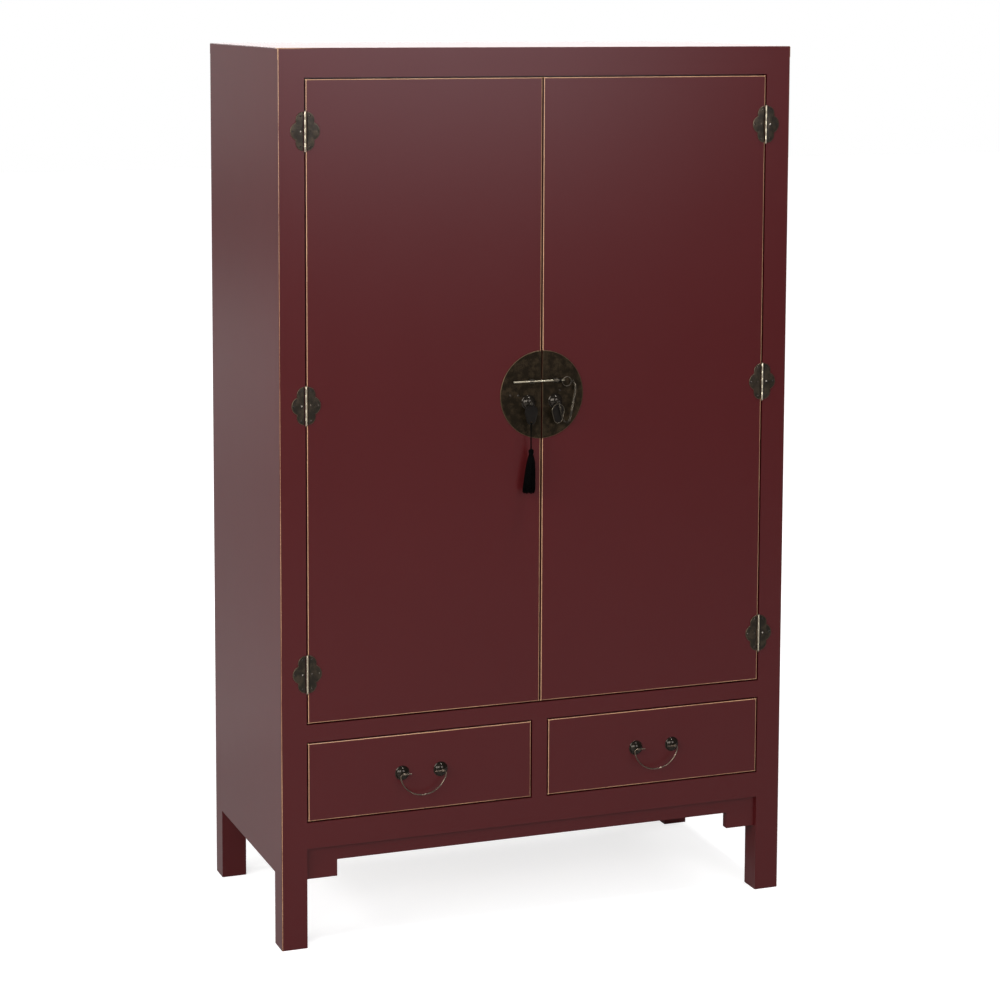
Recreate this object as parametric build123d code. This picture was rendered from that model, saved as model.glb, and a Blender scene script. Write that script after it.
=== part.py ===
"""Chinese wedding cabinet: two lacquered doors over two drawers, on four straight legs.

X runs left to right, Y from front to back and Z upwards, in millimetres. The origin is on
the floor, under the middle of the cabinet with its door furniture. Each solid is one real
piece, and each file in parts/ holds one piece or one set of like pieces.
"""
from build123d import *
import math
import os

# ---- Carcass ----
WIDTH = 980.0            # outside of the legs
DEPTH = 460.0            # front face to back face of the legs
HEIGHT = 1600.0
LEG_W, LEG_D = 47.0, 45.0
TOP_T = 20.0             # top board
SIDE_T = 18.0            # side panels
SIDE_FOOT_Z = 132.0      # lower edge of the side panels
BACK_T = 12.0
BACK_INSET = 4.0
BOARD_T = 18.0           # wardrobe floor and shelves
EASE = 1.2               # worn bevel on the outer edges

TOP_RAIL_H = 31.0        # under the top board
MIDDLE_RAIL_H = 31.5
BOTTOM_RAIL_Z = 182.0
BOTTOM_RAIL_H = 47.5
DRAWER_OPENING_H = 146.5
DIVIDER_W = 29.0

APRON_T = 15.0
APRON_INSET = 8.0
APRON_Z = 154.5          # lower edge of its middle
APRON_STEP_Z = 124.0     # lower edge of its two ends
APRON_STEP_W = 58.0

SHELF_SETBACK = 7.0      # front of the shelves behind the front legs
SHELF_HEIGHTS = (385.0, 765.0)   # shelf undersides above the wardrobe floor
SHELF_PLAY = 1.0
BATTEN = 20.0            # square strips under the shelves
STOP = 12.0              # square strips behind the doors
STOP_PLAY = 0.5

# ---- Doors ----
GAP = 2.5                # shadow gap round doors and drawer fronts
DOOR_T = 22.0
DOOR_BATTEN_W, DOOR_BATTEN_T = 60.0, 16.0
DOOR_BATTEN_INSET_X, DOOR_BATTEN_INSET_Z = 30.0, 130.0

# ---- Hinges: a lobed leaf on the leg, one on the door, and a pin in five knuckles ----
HINGE_H = 67.5
HINGE_END = 89.75        # ends of the door to the middle of the upper and lower hinges
LEAF_T = 1.5
LEAF_W = 26.5            # pin to the tip of the side lobe
LOBE_R = 14.0            # upper and lower lobes
LOBE_X = 2.8
SIDE_LOBE_R = 16.7
KNUCKLES = 5
BARREL_R = 2.0
BARREL_GAP = 0.1         # barrel to the front face
KNUCKLE_GAP = 0.3
LEAF_CLEAR = 3.0         # leaf edge to the pin, beside the other leaf's knuckles
HINGE_PIN_R = 0.9
HINGE_FIT = 0.05
HINGE_HEAD_T = 1.2
LEAF_NAIL_X = 8.5        # row of nails beside the pin
LEAF_NAIL_END = 7.25     # ends of the leaf to the upper and lower nails
LEAF_NAIL_TIP = 4.0      # tip of the side lobe to its nail

NAIL_HEAD_R, NAIL_HEAD_H = 1.9, 1.0
NAIL_R, NAIL_L, NAIL_FIT = 0.8, 12.0, 0.05

# ---- Lock plate, bosses, pendants and sliding pin ----
PLATE_R = 80.0
PLATE_T = 1.5
PLATE_DROP = 2.0         # centre of the round plate below the middle of the doors
PLATE_NAIL_SPOTS_LEFT = ((-61.0, 1.0), (-46.0, 0.0))
PLATE_NAIL_SPOTS_RIGHT = ((35.0, 6.0),)

BOSS_R, BOSS_H = 13.5, 9.5
SHANK_R, SHANK_FIT = 1.5, 0.1
CLINCH_L, CLINCH_T = 12.0, 1.5   # bent legs of a split pin behind the wood

PENDANT_X = 26.0         # bosses left and right of the meeting gap
PENDANT_DROP = 13.0      # bosses below the plate's centre
EYE_R, EYE_WIRE_R = 4.0, 0.8
HANG_GAP = 0.3
PENDANT_T = 1.6
PENDANT_HOLE_R = 1.9
PENDANT_RIM = 1.2
PENDANT_L = 39.0         # boss centre to the pendant's tip
PENDANT_R, PENDANT_TIP_R = 12.5, 8.5
PENDANT_BELLY = 23.5     # widest place above the tip
CORD_HOLE_R = 2.2
CORD_HOLE_RIM = 2.0

LOCK_PIN_R = 1.7
LOCK_PIN_EASE = 0.6      # rounding of its free end
LOCK_PIN_RISE = 25.0     # above the plate's centre
LOCK_PIN_LEFT, LOCK_PIN_RIGHT = -56.0, 36.0
LOCK_PIN_FIT = 0.08
STAPLE_R, STAPLE_W = 4.2, 8.0
STAPLE_LEFT_X, STAPLE_RIGHT_X = -21.0, 25.0
STAPLE_SLOT_GAP = 0.15
PIN_EYE_R, PIN_EYE_WIRE_R = 3.0, 1.0
RING_R, RING_WIRE_R = 8.5, 0.8
RING_DROP = 2.8          # ring's centre below the pin

LINK_L, LINK_W, LINK_WIRE_R = 5.4, 3.6, 0.45
LINK_SLACK = 0.3
CHAIN_HOOK_ANGLE = 62.0  # where the last link sits round the right eye, from straight down
# Points on the hanging chain: X, depth before the front face, Z from the plate's centre.
CHAIN_ROUTE = ((62.5, 7.5, 13.0), (59.5, 10.0, -8.0), (53.5, 13.5, -30.0), (43.0, 17.5, -51.0),
               (35.0, 19.5, -46.0), (30.0, 20.8, -32.0))
CHAIN_LEAVES_RING = (2, 0, -1)   # directions of the chain at its two ends
CHAIN_MEETS_EYE = (-1, 0, 4)

# ---- Tassel ----
CORD_R = 0.7
CORD_FOLD_R = 2.4
CORD_DROP = 44.0         # pendant's tip to the tassel's head
TASSEL_HEAD_R, TASSEL_HEAD_H, TASSEL_HEAD_EASE = 4.8, 11.0, 2.0
TASSEL_SKIRT_H = 69.0
# The skirt's outline: radius, share of its height down.
TASSEL_SHAPE = ((4.2, 0.0), (7.6, 0.16), (9.8, 0.42), (12.2, 0.94), (10.5, 1.0))

# ---- Drawers ----
DRAWER_FRONT_T = 22.0
DRAWER_SIDE_T = 12.0
DRAWER_BACK_T = 10.0
DRAWER_BOTTOM_T = 6.0
DRAWER_TOP_CLEAR = 28.2  # drawer sides below the middle rail
DRAWER_BACK_CLEAR = 37.0 # drawer back to the back panel
DRAWER_SIDE_PLAY = 4.0
DRAWER_SEAT_GAP = 0.3
DRAWER_BOTTOM_RISE = 8.0
DRAWER_GROOVE = 5.0
RUNNER_H, RUNNER_LEDGE, GUIDE_H, GUIDE_GAP = 20.0, 20.0, 30.0, 1.0

BAIL_SPREAD = 73.0       # boss to boss
BAIL_R = 1.15
BAIL_FIT = 0.08
BAIL_EYE_R, BAIL_EYE_W = 2.6, 4.5
BAIL_INNER = 14.0        # bail's end inside of the boss centre
BAIL_OUTER = 6.5         # bail's leg outside of the boss centre
BAIL_DROP = 40.5
BAIL_CORNER_R = 4.2
BAIL_SIDE_R = 24.0

# ---- Places that follow from the sizes ----
EYE_OUT = PLATE_T + BOSS_H + EYE_R + EYE_WIRE_R            # eye's centre before the front face
LINK_PITCH = LINK_L - 4 * LINK_WIRE_R - LINK_SLACK
SKIRT_R = max(radius for radius, share in TASSEL_SHAPE)
PROUD = EYE_OUT + SKIRT_R                                  # foremost piece before the front face
FRONT = -(DEPTH - PROUD) / 2
BACK = FRONT + DEPTH
HALF = WIDTH / 2
LEG_X = HALF - LEG_W                                       # inner face of the legs
WALL_X = HALF - SIDE_T                                     # inner face of the side panels
LEG_TOP = HEIGHT - TOP_T
BOTTOM_RAIL_TOP = BOTTOM_RAIL_Z + BOTTOM_RAIL_H
MIDDLE_RAIL_Z = BOTTOM_RAIL_TOP + DRAWER_OPENING_H
FLOOR_TOP = MIDDLE_RAIL_Z + MIDDLE_RAIL_H
TOP_RAIL_Z = LEG_TOP - TOP_RAIL_H
SHELF_Z = [FLOOR_TOP + h for h in SHELF_HEIGHTS]
BACK_FACE = BACK - BACK_INSET                              # back face of the back panel
LEGS_Y0, LEGS_Y1 = FRONT + LEG_D, BACK - LEG_D             # between the front and back legs

DOOR_X0, DOOR_X1 = GAP / 2, LEG_X - GAP
DOOR_Z0, DOOR_Z1 = FLOOR_TOP + GAP, TOP_RAIL_Z - GAP
DOOR_MID = (DOOR_Z0 + DOOR_Z1) / 2
DOOR_BACK = FRONT + DOOR_T
PLATE_Z = DOOR_MID - PLATE_DROP
HINGE_X = LEG_X - GAP / 2
HINGE_FACE = BARREL_R + BARREL_GAP                         # pin axis to the front face
HINGE_Y = FRONT - HINGE_FACE
HINGE_ZS = [DOOR_Z0 + HINGE_END, DOOR_MID, DOOR_Z1 - HINGE_END]
LEAF_NAIL_Z = HINGE_H / 2 - LEAF_NAIL_END
LEAF_NAIL_SPOTS = [(LEAF_NAIL_X, LEAF_NAIL_Z), (LEAF_NAIL_X, 0), (LEAF_NAIL_X, -LEAF_NAIL_Z),
                   (LEAF_W - LEAF_NAIL_TIP, 0)]

PLATE_FACE = FRONT - PLATE_T
EYE_Y = FRONT - EYE_OUT
EYE_Z = PLATE_Z - PENDANT_DROP
LOCK_PIN_Y = PLATE_FACE - STAPLE_R
LOCK_PIN_Z = PLATE_Z + LOCK_PIN_RISE

DRAWER_X0, DRAWER_X1 = DIVIDER_W / 2 + GAP, LEG_X - GAP
DRAWER_Z0, DRAWER_Z1 = BOTTOM_RAIL_TOP + GAP, MIDDLE_RAIL_Z - GAP
BOX_X0, BOX_X1 = DIVIDER_W / 2 + DRAWER_SIDE_PLAY, LEG_X - DRAWER_SIDE_PLAY
BOX_Y0 = FRONT + DRAWER_FRONT_T
BOX_Y1 = BACK_FACE - BACK_T - DRAWER_BACK_CLEAR
BOX_Z0 = BOTTOM_RAIL_TOP + DRAWER_SEAT_GAP
BOX_Z1 = MIDDLE_RAIL_Z - DRAWER_TOP_CLEAR
BAIL_X = (DRAWER_X0 + DRAWER_X1) / 2
BAIL_Z = (DRAWER_Z0 + DRAWER_Z1) / 2
BAIL_Y = FRONT - BOSS_H - BAIL_EYE_R


# ---- Helpers ----
def block(x0, x1, y0, y1, z0, z1):
    """A box between two corners."""
    box = Box(x1 - x0, y1 - y0, z1 - z0)
    return Pos((x0 + x1) / 2, (y0 + y1) / 2, (z0 + z1) / 2) * box


def rod_y(radius, y0, y1):
    """A round rod along Y."""
    return Pos(0, (y0 + y1) / 2, 0) * Rot(90, 0, 0) * Cylinder(radius, y1 - y0)


def rod_x(radius, x0, x1):
    """A round rod along X."""
    return Pos((x0 + x1) / 2, 0, 0) * Rot(0, 90, 0) * Cylinder(radius, x1 - x0)


def dome(radius, height):
    """A spherical cap, flat on the XZ plane, with its crown towards the front."""
    ball = (radius ** 2 + height ** 2) / (2 * height)
    keep = block(-ball, ball, -height - 1, 0, -ball, ball)
    return (Pos(0, ball - height, 0) * Sphere(ball)) & keep


def eased_front(panel, size=EASE):
    """Bevels the edges round a panel's front face."""
    return chamfer(panel.faces().sort_by(Axis.Y)[0].edges(), size)


def flipped(piece):
    """The same piece on the other side of the cabinet."""
    return mirror(piece, about=Plane.YZ)


def group(pieces):
    """Several separate solids as one set."""
    solids = []
    for piece in pieces:
        solids += piece.solids()
    return Compound(children=solids)


def save(name, piece):
    """Writes one node."""
    export_step(piece, os.path.join("parts", name + ".step"))


# ---- Carcass pieces ----
def leg(side, front):
    """A square post, from the floor to the top board, with its outer corner eased."""
    x0, x1 = sorted((side * LEG_X, side * HALF))
    y0, y1 = (FRONT, LEGS_Y0) if front else (LEGS_Y1, BACK)
    post = block(x0, x1, y0, y1, 0, LEG_TOP)
    uprights = post.edges().filter_by(Axis.Z)
    outer = uprights.sort_by(Axis.X)[-2:] if side > 0 else uprights.sort_by(Axis.X)[:2]
    corner = outer.sort_by(Axis.Y)[0 if front else -1]
    post = chamfer(corner, EASE)
    if front:
        post -= nail_holes([(side * x, z) for x, z in leaf_spots(1)], FRONT - LEAF_T)
    return post


def side_panel(side):
    """A board between the front and back legs, flush with their outer faces."""
    x0, x1 = sorted((side * WALL_X, side * HALF))
    return block(x0, x1, LEGS_Y0, LEGS_Y1, SIDE_FOOT_Z, LEG_TOP)


def rail(z0, z1, y0=FRONT):
    """A cross rail between the legs."""
    return block(-LEG_X, LEG_X, y0, y0 + LEG_D, z0, z1)


def back_rails():
    """The lower and upper rails between the back legs."""
    return group([rail(BOTTOM_RAIL_Z, BOTTOM_RAIL_TOP, LEGS_Y1), rail(TOP_RAIL_Z, LEG_TOP, LEGS_Y1)])


def back_panel():
    """The thin board that closes the back between its rails."""
    return block(-LEG_X, LEG_X, BACK_FACE - BACK_T, BACK_FACE, BOTTOM_RAIL_TOP, TOP_RAIL_Z)


def drawer_divider():
    """The short post between the two drawers."""
    half = DIVIDER_W / 2
    return block(-half, half, FRONT, LEGS_Y0, BOTTOM_RAIL_TOP, MIDDLE_RAIL_Z)


def top_board():
    """The flat top, flush all round, with its upper edges eased."""
    board = block(-HALF, HALF, FRONT, BACK, LEG_TOP, HEIGHT)
    return chamfer(board.faces().sort_by(Axis.Z)[-1].edges(), EASE)


def inner_board(z0, y0, play=0.0):
    """A board across the cabinet that is notched round the back legs."""
    z1 = z0 + BOARD_T
    wide = block(-WALL_X + play, WALL_X - play, y0, LEGS_Y1 - play, z0, z1)
    tail = block(-LEG_X + play, LEG_X - play, y0, BACK_FACE - BACK_T - play, z0, z1)
    return wide + tail


def apron():
    """A thin board under the bottom rail, cut away between its two ends."""
    x, step = LEG_X, LEG_X - APRON_STEP_W
    corners = [(-x, BOTTOM_RAIL_Z), (x, BOTTOM_RAIL_Z), (x, APRON_STEP_Z), (step, APRON_STEP_Z),
               (step, APRON_Z), (-step, APRON_Z), (-step, APRON_STEP_Z), (-x, APRON_STEP_Z)]
    face = Plane.XZ.offset(-FRONT - APRON_INSET) * Polygon(*corners, align=None)
    return extrude(face, APRON_T, dir=(0, 1, 0))


def shelf_batten(side, z):
    """A strip on the side panel under one end of a shelf."""
    x0, x1 = sorted((side * (WALL_X - BATTEN), side * WALL_X))
    return block(x0, x1, LEGS_Y0, LEGS_Y1, z - BATTEN, z)


def drawer_runners():
    """Ledges that the drawer sides slide on, each with a guide beside the drawer."""
    z0, z1 = BOTTOM_RAIL_TOP - RUNNER_H, BOTTOM_RAIL_TOP
    guide_x = BOX_X1 + GUIDE_GAP
    outer = block(LEG_X - RUNNER_LEDGE, WALL_X, LEGS_Y0, LEGS_Y1, z0, z1)
    outer += block(guide_x, WALL_X, LEGS_Y0, LEGS_Y1, z0, z1 + GUIDE_H)
    half_ledge = DIVIDER_W / 2 + RUNNER_LEDGE
    half_guide = BOX_X0 - GUIDE_GAP
    middle = block(-half_ledge, half_ledge, LEGS_Y0, LEGS_Y1, z0, z1)
    middle += block(-half_guide, half_guide, LEGS_Y0, LEGS_Y1, z0, z1 + GUIDE_H)
    return group([outer, flipped(outer), middle])


def door_stops():
    """Strips under the top rail and on the middle rail that the doors close against."""
    y0 = DOOR_BACK + STOP_PLAY
    upper = block(-LEG_X, LEG_X, y0, y0 + STOP, TOP_RAIL_Z - STOP, TOP_RAIL_Z)
    lower = block(-LEG_X, LEG_X, y0, y0 + STOP, FLOOR_TOP, FLOOR_TOP + STOP)
    return group([upper, lower])


# ---- Nails and split pins ----
def nail(x, z, face):
    """A domed nail, driven from the front through a plate whose front is at face."""
    head = dome(NAIL_HEAD_R, NAIL_HEAD_H)
    return Pos(x, face, z) * (head + rod_y(NAIL_R, -NAIL_HEAD_H / 2, NAIL_L))


def nail_holes(spots, face):
    """Holes for nails at the given places."""
    hole = rod_y(NAIL_R + NAIL_FIT, -1, NAIL_L + 1)
    return [Pos(x, face, z) * hole for x, z in spots]


def split_pin(head, head_back, wood_back):
    """A split pin: its head at the origin, a shank through the wood, and legs bent apart."""
    shank = rod_y(SHANK_R, head_back, wood_back + CLINCH_T)
    legs = block(-SHANK_R, SHANK_R, wood_back, wood_back + CLINCH_T, -CLINCH_L, CLINCH_L)
    return head + shank + legs


def shank_hole(y0, y1):
    """A hole along Y for the shank of a split pin."""
    return rod_y(SHANK_R + SHANK_FIT, y0, y1)


def boss():
    """A domed washer with a hole for a split pin."""
    return dome(BOSS_R, BOSS_H) - shank_hole(-BOSS_H - 1, 1)


# ---- Hinges ----
def leaf_spots(x_sign):
    """Nail places of the three leaves on one side of the right-hand hinge pins."""
    return [(HINGE_X + x_sign * x, z0 + z) for z0 in HINGE_ZS for x, z in LEAF_NAIL_SPOTS]


def hinge_leaf(own_knuckles):
    """A lobed leaf to the right of a pin at the origin, with its own knuckles."""
    lobe_z = HINGE_H / 2 - LOBE_R
    side_x = LEAF_W - SIDE_LOBE_R
    outline = Pos(side_x, 0) * Circle(SIDE_LOBE_R) + Pos(LOBE_X, lobe_z) * Circle(LOBE_R)
    outline += Pos(LOBE_X, -lobe_z) * Circle(LOBE_R)
    outline &= Pos(LEAF_CLEAR + LEAF_W, 0) * Rectangle(2 * LEAF_W, HINGE_H)
    leaf = extrude(Plane.XZ.offset(-HINGE_FACE) * outline, LEAF_T)
    pitch = HINGE_H / KNUCKLES
    length = pitch - KNUCKLE_GAP
    for k in own_knuckles:
        z = (k - (KNUCKLES - 1) / 2) * pitch
        z0, z1 = z - length / 2, z + length / 2
        tongue = block(0, LEAF_CLEAR + 1, HINGE_FACE - LEAF_T, HINGE_FACE, z0, z1)
        leaf += tongue + Pos(0, 0, z) * Cylinder(BARREL_R, length)
    leaf -= Cylinder(HINGE_PIN_R + HINGE_FIT, HINGE_H)
    for x, z in LEAF_NAIL_SPOTS:
        leaf -= Pos(x, HINGE_FACE, z) * rod_y(NAIL_R + NAIL_FIT, -2 * LEAF_T, LEAF_T)
    return leaf


def hinge_leaves(x_sign, own_knuckles):
    """Three like leaves beside the right-hand hinge pins."""
    leaf = hinge_leaf(own_knuckles)
    if x_sign < 0:
        leaf = flipped(leaf)
    return group([Pos(HINGE_X, HINGE_Y, z) * leaf for z in HINGE_ZS])


def hinge_pin():
    """A pin with a flat head at each end."""
    head = Cylinder(BARREL_R, HINGE_HEAD_T)
    lift = (HINGE_H + HINGE_HEAD_T) / 2
    return Cylinder(HINGE_PIN_R, HINGE_H) + Pos(0, 0, lift) * head + Pos(0, 0, -lift) * head


# ---- Doors, built for the right-hand side ----
def door_panel(side, plate_spots):
    """One flat door with its front edges eased, holed for nails and split pins."""
    panel = block(DOOR_X0, DOOR_X1, FRONT, DOOR_BACK, DOOR_Z0, DOOR_Z1)
    panel = eased_front(panel)
    spots = leaf_spots(-1) + [(side * x, PLATE_Z + z) for x, z in plate_spots]
    panel -= nail_holes(spots, FRONT - LEAF_T)
    hole = shank_hole(FRONT - 1, DOOR_BACK + 1)
    staple_x = STAPLE_RIGHT_X if side > 0 else -STAPLE_LEFT_X
    panel -= Pos(PENDANT_X, 0, EYE_Z) * hole
    panel -= Pos(staple_x, 0, LOCK_PIN_Z) * hole
    return panel


def door_battens():
    """Two cross battens on the inside of a door."""
    x0, x1 = DOOR_X0 + DOOR_BATTEN_INSET_X, DOOR_X1 - DOOR_BATTEN_INSET_X
    y0, y1 = DOOR_BACK, DOOR_BACK + DOOR_BATTEN_T
    low = DOOR_Z0 + DOOR_BATTEN_INSET_Z
    high = DOOR_Z1 - DOOR_BATTEN_INSET_Z - DOOR_BATTEN_W
    return group([block(x0, x1, y0, y1, z, z + DOOR_BATTEN_W) for z in (low, high)])


def lock_plate(side, plate_spots):
    """Half of the round plate, cut along the meeting edge of the doors."""
    disc = Pos(0, FRONT, PLATE_Z) * rod_y(PLATE_R, -PLATE_T, 0)
    z0, z1 = PLATE_Z - PLATE_R, PLATE_Z + PLATE_R
    half = disc & block(DOOR_X0, PLATE_R + 1, PLATE_FACE, FRONT, z0, z1)
    half -= nail_holes([(side * x, PLATE_Z + z) for x, z in plate_spots], PLATE_FACE)
    hole = shank_hole(PLATE_FACE - 1, FRONT + 1)
    staple_x = STAPLE_RIGHT_X if side > 0 else -STAPLE_LEFT_X
    half -= Pos(PENDANT_X, 0, EYE_Z) * hole
    half -= Pos(staple_x, 0, LOCK_PIN_Z) * hole
    return half


def pendant_pin():
    """The split pin through a boss: a round eye that the pendant hangs from."""
    ring = Rot(0, 90, 0) * Torus(EYE_R, EYE_WIRE_R)
    pin = split_pin(ring, EYE_R - EYE_WIRE_R / 2, DOOR_BACK - EYE_Y)
    return Pos(PENDANT_X, EYE_Y, EYE_Z) * pin


def staple(open_front):
    """The loop that holds the lock pin; the left one is open at the front."""
    loop = rod_x(STAPLE_R, -STAPLE_W / 2, STAPLE_W / 2)
    bore = LOCK_PIN_R + LOCK_PIN_FIT
    pin = split_pin(loop, bore, DOOR_BACK - LOCK_PIN_Y)
    pin -= rod_x(bore, -STAPLE_W, STAPLE_W)
    if open_front:
        slot = LOCK_PIN_R + STAPLE_SLOT_GAP
        pin -= block(-STAPLE_W, STAPLE_W, -STAPLE_R - 1, 0, -slot, slot)
    return pin


def door_split_pins(side):
    """The pendant's split pin and the staple of one door."""
    x = STAPLE_RIGHT_X if side > 0 else -STAPLE_LEFT_X
    loop = Pos(x, LOCK_PIN_Y, LOCK_PIN_Z) * staple(open_front=side < 0)
    return group([pendant_pin(), loop])


# ---- Pendants, lock pin, ring and chain ----
def pendant(cord_hole):
    """A flat oval drop with a hole for its eye, hung on the right-hand boss."""
    hole_z = EYE_Z - EYE_R + EYE_WIRE_R + HANG_GAP - PENDANT_HOLE_R
    tip_z = EYE_Z - PENDANT_L
    circles = [Pos(0, hole_z) * Circle(PENDANT_HOLE_R + PENDANT_RIM),
               Pos(0, tip_z + PENDANT_BELLY) * Circle(PENDANT_R),
               Pos(0, tip_z + PENDANT_TIP_R) * Circle(PENDANT_TIP_R)]
    outline = make_hull([edge for circle in circles for edge in circle.edges()])
    plate = extrude(Plane.XZ.offset(-PENDANT_T / 2) * outline, PENDANT_T)
    plate -= Pos(0, 0, hole_z) * rod_y(PENDANT_HOLE_R, -PENDANT_T, PENDANT_T)
    if cord_hole:
        z = tip_z + CORD_HOLE_RIM + CORD_HOLE_R
        plate -= Pos(0, 0, z) * rod_y(CORD_HOLE_R, -PENDANT_T, PENDANT_T)
    return Pos(PENDANT_X, EYE_Y, 0) * plate


def lock_pin():
    """The sliding rod with a small eye at its right end."""
    bar = rod_x(LOCK_PIN_R, LOCK_PIN_LEFT, LOCK_PIN_RIGHT)
    bar = fillet(bar.edges().sort_by(Axis.X)[0], LOCK_PIN_EASE)
    eye_x = LOCK_PIN_RIGHT + PIN_EYE_R
    bar += Pos(eye_x, 0, 0) * Torus(PIN_EYE_R, PIN_EYE_WIRE_R)
    bar -= Pos(eye_x, 0, 0) * Cylinder(PIN_EYE_R - PIN_EYE_WIRE_R, 2 * LOCK_PIN_R)
    return Pos(0, LOCK_PIN_Y, LOCK_PIN_Z) * bar


def ring_centre():
    """The pull ring's centre, hooked through the lock pin's eye."""
    run = math.sqrt(RING_R ** 2 - RING_DROP ** 2)
    return Vector(LOCK_PIN_RIGHT + PIN_EYE_R + run, LOCK_PIN_Y, LOCK_PIN_Z - RING_DROP)


def lock_ring():
    """The ring between the lock pin and its chain."""
    return Pos(*ring_centre()) * Rot(90, 0, 0) * Torus(RING_R, RING_WIRE_R)


def link():
    """One oval link, long along X and flat on the XY plane."""
    w = LINK_W / 2 - LINK_WIRE_R
    x = LINK_L / 2 - LINK_WIRE_R - w
    sides = [Line((-x, w), (x, w)), ThreePointArc((x, w), (x + w, 0), (x, -w)),
             Line((x, -w), (-x, -w)), ThreePointArc((-x, -w), (-x - w, 0), (-x, w))]
    section = Plane((-x, w, 0), z_dir=(1, 0, 0)) * Circle(LINK_WIRE_R)
    return sweep(section, path=Wire([side.edge() for side in sides]))


def chain_joints():
    """The points where one link hands over to the next, from the ring to the right-hand eye."""
    hook = math.radians(CHAIN_HOOK_ANGLE)
    off_eye = Vector(0, -math.sin(hook), -math.cos(hook))
    eye = Vector(PENDANT_X, EYE_Y, EYE_Z)
    first = ring_centre() + Vector(RING_R - RING_WIRE_R, 0, 0)
    second = first + Vector(LINK_PITCH, 0, 0)
    last = eye + off_eye * (EYE_R - EYE_WIRE_R)
    before_last = last + off_eye * LINK_PITCH
    middle = [Vector(x, FRONT - depth, PLATE_Z + z) for x, depth, z in CHAIN_ROUTE]
    line = Spline(second, *middle, before_last, tangents=(CHAIN_LEAVES_RING, CHAIN_MEETS_EYE))
    count = 2 * math.ceil(line.length / LINK_PITCH / 2)
    return [first] + [line @ (k / count) for k in range(count + 1)] + [last]


def lock_chain():
    """Oval links from joint to joint, every other one a quarter turn about its length."""
    joints = chain_joints()
    spans = list(zip(joints, joints[1:]))
    alongs = [(end - start).normalized() for start, end in spans]
    across = [Vector(0, 0, 1)]
    for along in alongs[1:]:
        across.append((across[-1] - along * across[-1].dot(along)).normalized())
    # The last link has to lie square across the eye, so the links share the small twist it needs.
    square = Vector(math.copysign(1, across[-1].X), 0, 0)
    twist = across[-1].get_signed_angle(square, alongs[-1]) / (len(spans) - 1)
    links = []
    for k, (start, end) in enumerate(spans):
        turned = across[k].rotate(Axis((0, 0, 0), alongs[k]), k * twist)
        normal = turned if k % 2 == 0 else turned.cross(alongs[k])
        links.append(Plane((start + end) / 2, x_dir=alongs[k], z_dir=normal) * link())
    return group(links)


# ---- Tassel ----
def cord_pivot():
    """Where the cord folds over the rim of the pendant's lower hole."""
    return Vector(-PENDANT_X, EYE_Y, EYE_Z - PENDANT_L + CORD_HOLE_RIM / 2)


def tassel_top():
    """Height of the top of the tassel's head."""
    return EYE_Z - PENDANT_L - CORD_DROP


def tassel_cord():
    """A thin cord, up from the head, over the pendant's rim and down again."""
    pivot = cord_pivot()
    z0 = tassel_top() - pivot.Z
    r = CORD_FOLD_R
    up = Line((0, -r, z0), (0, -r, 0))
    over = ThreePointArc((0, -r, 0), (0, 0, r), (0, r, 0))
    down = Line((0, r, 0), (0, r, z0))
    section = Plane((0, -r, z0), z_dir=(0, 0, 1)) * Circle(CORD_R)
    return Pos(*pivot) * sweep(section, path=Wire([up.edge(), over.edge(), down.edge()]))


def tassel_head():
    """The bound knot over the skirt."""
    knot = Cylinder(TASSEL_HEAD_R, TASSEL_HEAD_H)
    knot = fillet(knot.edges().filter_by(GeomType.CIRCLE), TASSEL_HEAD_EASE)
    return Pos(-PENDANT_X, EYE_Y, tassel_top() - TASSEL_HEAD_H / 2) * knot


def tassel_skirt():
    """The hanging threads as one flared solid."""
    z0 = tassel_top() - TASSEL_HEAD_H
    rim = [(r, -share * TASSEL_SKIRT_H) for r, share in TASSEL_SHAPE]
    outline = Polygon((0, 0), *rim, (0, -TASSEL_SKIRT_H), align=None)
    return Pos(-PENDANT_X, EYE_Y, z0) * revolve(Plane.XZ * outline, Axis.Z)


# ---- Drawers, built for the right-hand side ----
def drawer_bottom():
    """The thin bottom, let into the front and the sides."""
    x0, x1 = BOX_X0 + DRAWER_SIDE_T - DRAWER_GROOVE, BOX_X1 - DRAWER_SIDE_T + DRAWER_GROOVE
    z0 = BOX_Z0 + DRAWER_BOTTOM_RISE
    return block(x0, x1, BOX_Y0 - DRAWER_GROOVE, BOX_Y1, z0, z0 + DRAWER_BOTTOM_T)


def drawer_front():
    """The lacquered front with its eased edges and holes for the two split pins."""
    panel = block(DRAWER_X0, DRAWER_X1, FRONT, BOX_Y0, DRAWER_Z0, DRAWER_Z1)
    panel = eased_front(panel) - drawer_bottom()
    for s in (-1, 1):
        panel -= Pos(BAIL_X + s * BAIL_SPREAD / 2, 0, BAIL_Z) * shank_hole(FRONT - 1, BOX_Y0 + 1)
    return panel


def drawer_sides():
    """The two sides, grooved for the bottom."""
    left = block(BOX_X0, BOX_X0 + DRAWER_SIDE_T, BOX_Y0, BOX_Y1, BOX_Z0, BOX_Z1)
    right = block(BOX_X1 - DRAWER_SIDE_T, BOX_X1, BOX_Y0, BOX_Y1, BOX_Z0, BOX_Z1)
    return group([left - drawer_bottom(), right - drawer_bottom()])


def drawer_back():
    """The back board, standing on the bottom between the sides."""
    z0 = BOX_Z0 + DRAWER_BOTTOM_RISE + DRAWER_BOTTOM_T
    x0, x1 = BOX_X0 + DRAWER_SIDE_T, BOX_X1 - DRAWER_SIDE_T
    return block(x0, x1, BOX_Y1 - DRAWER_BACK_T, BOX_Y1, z0, BOX_Z1)


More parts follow.
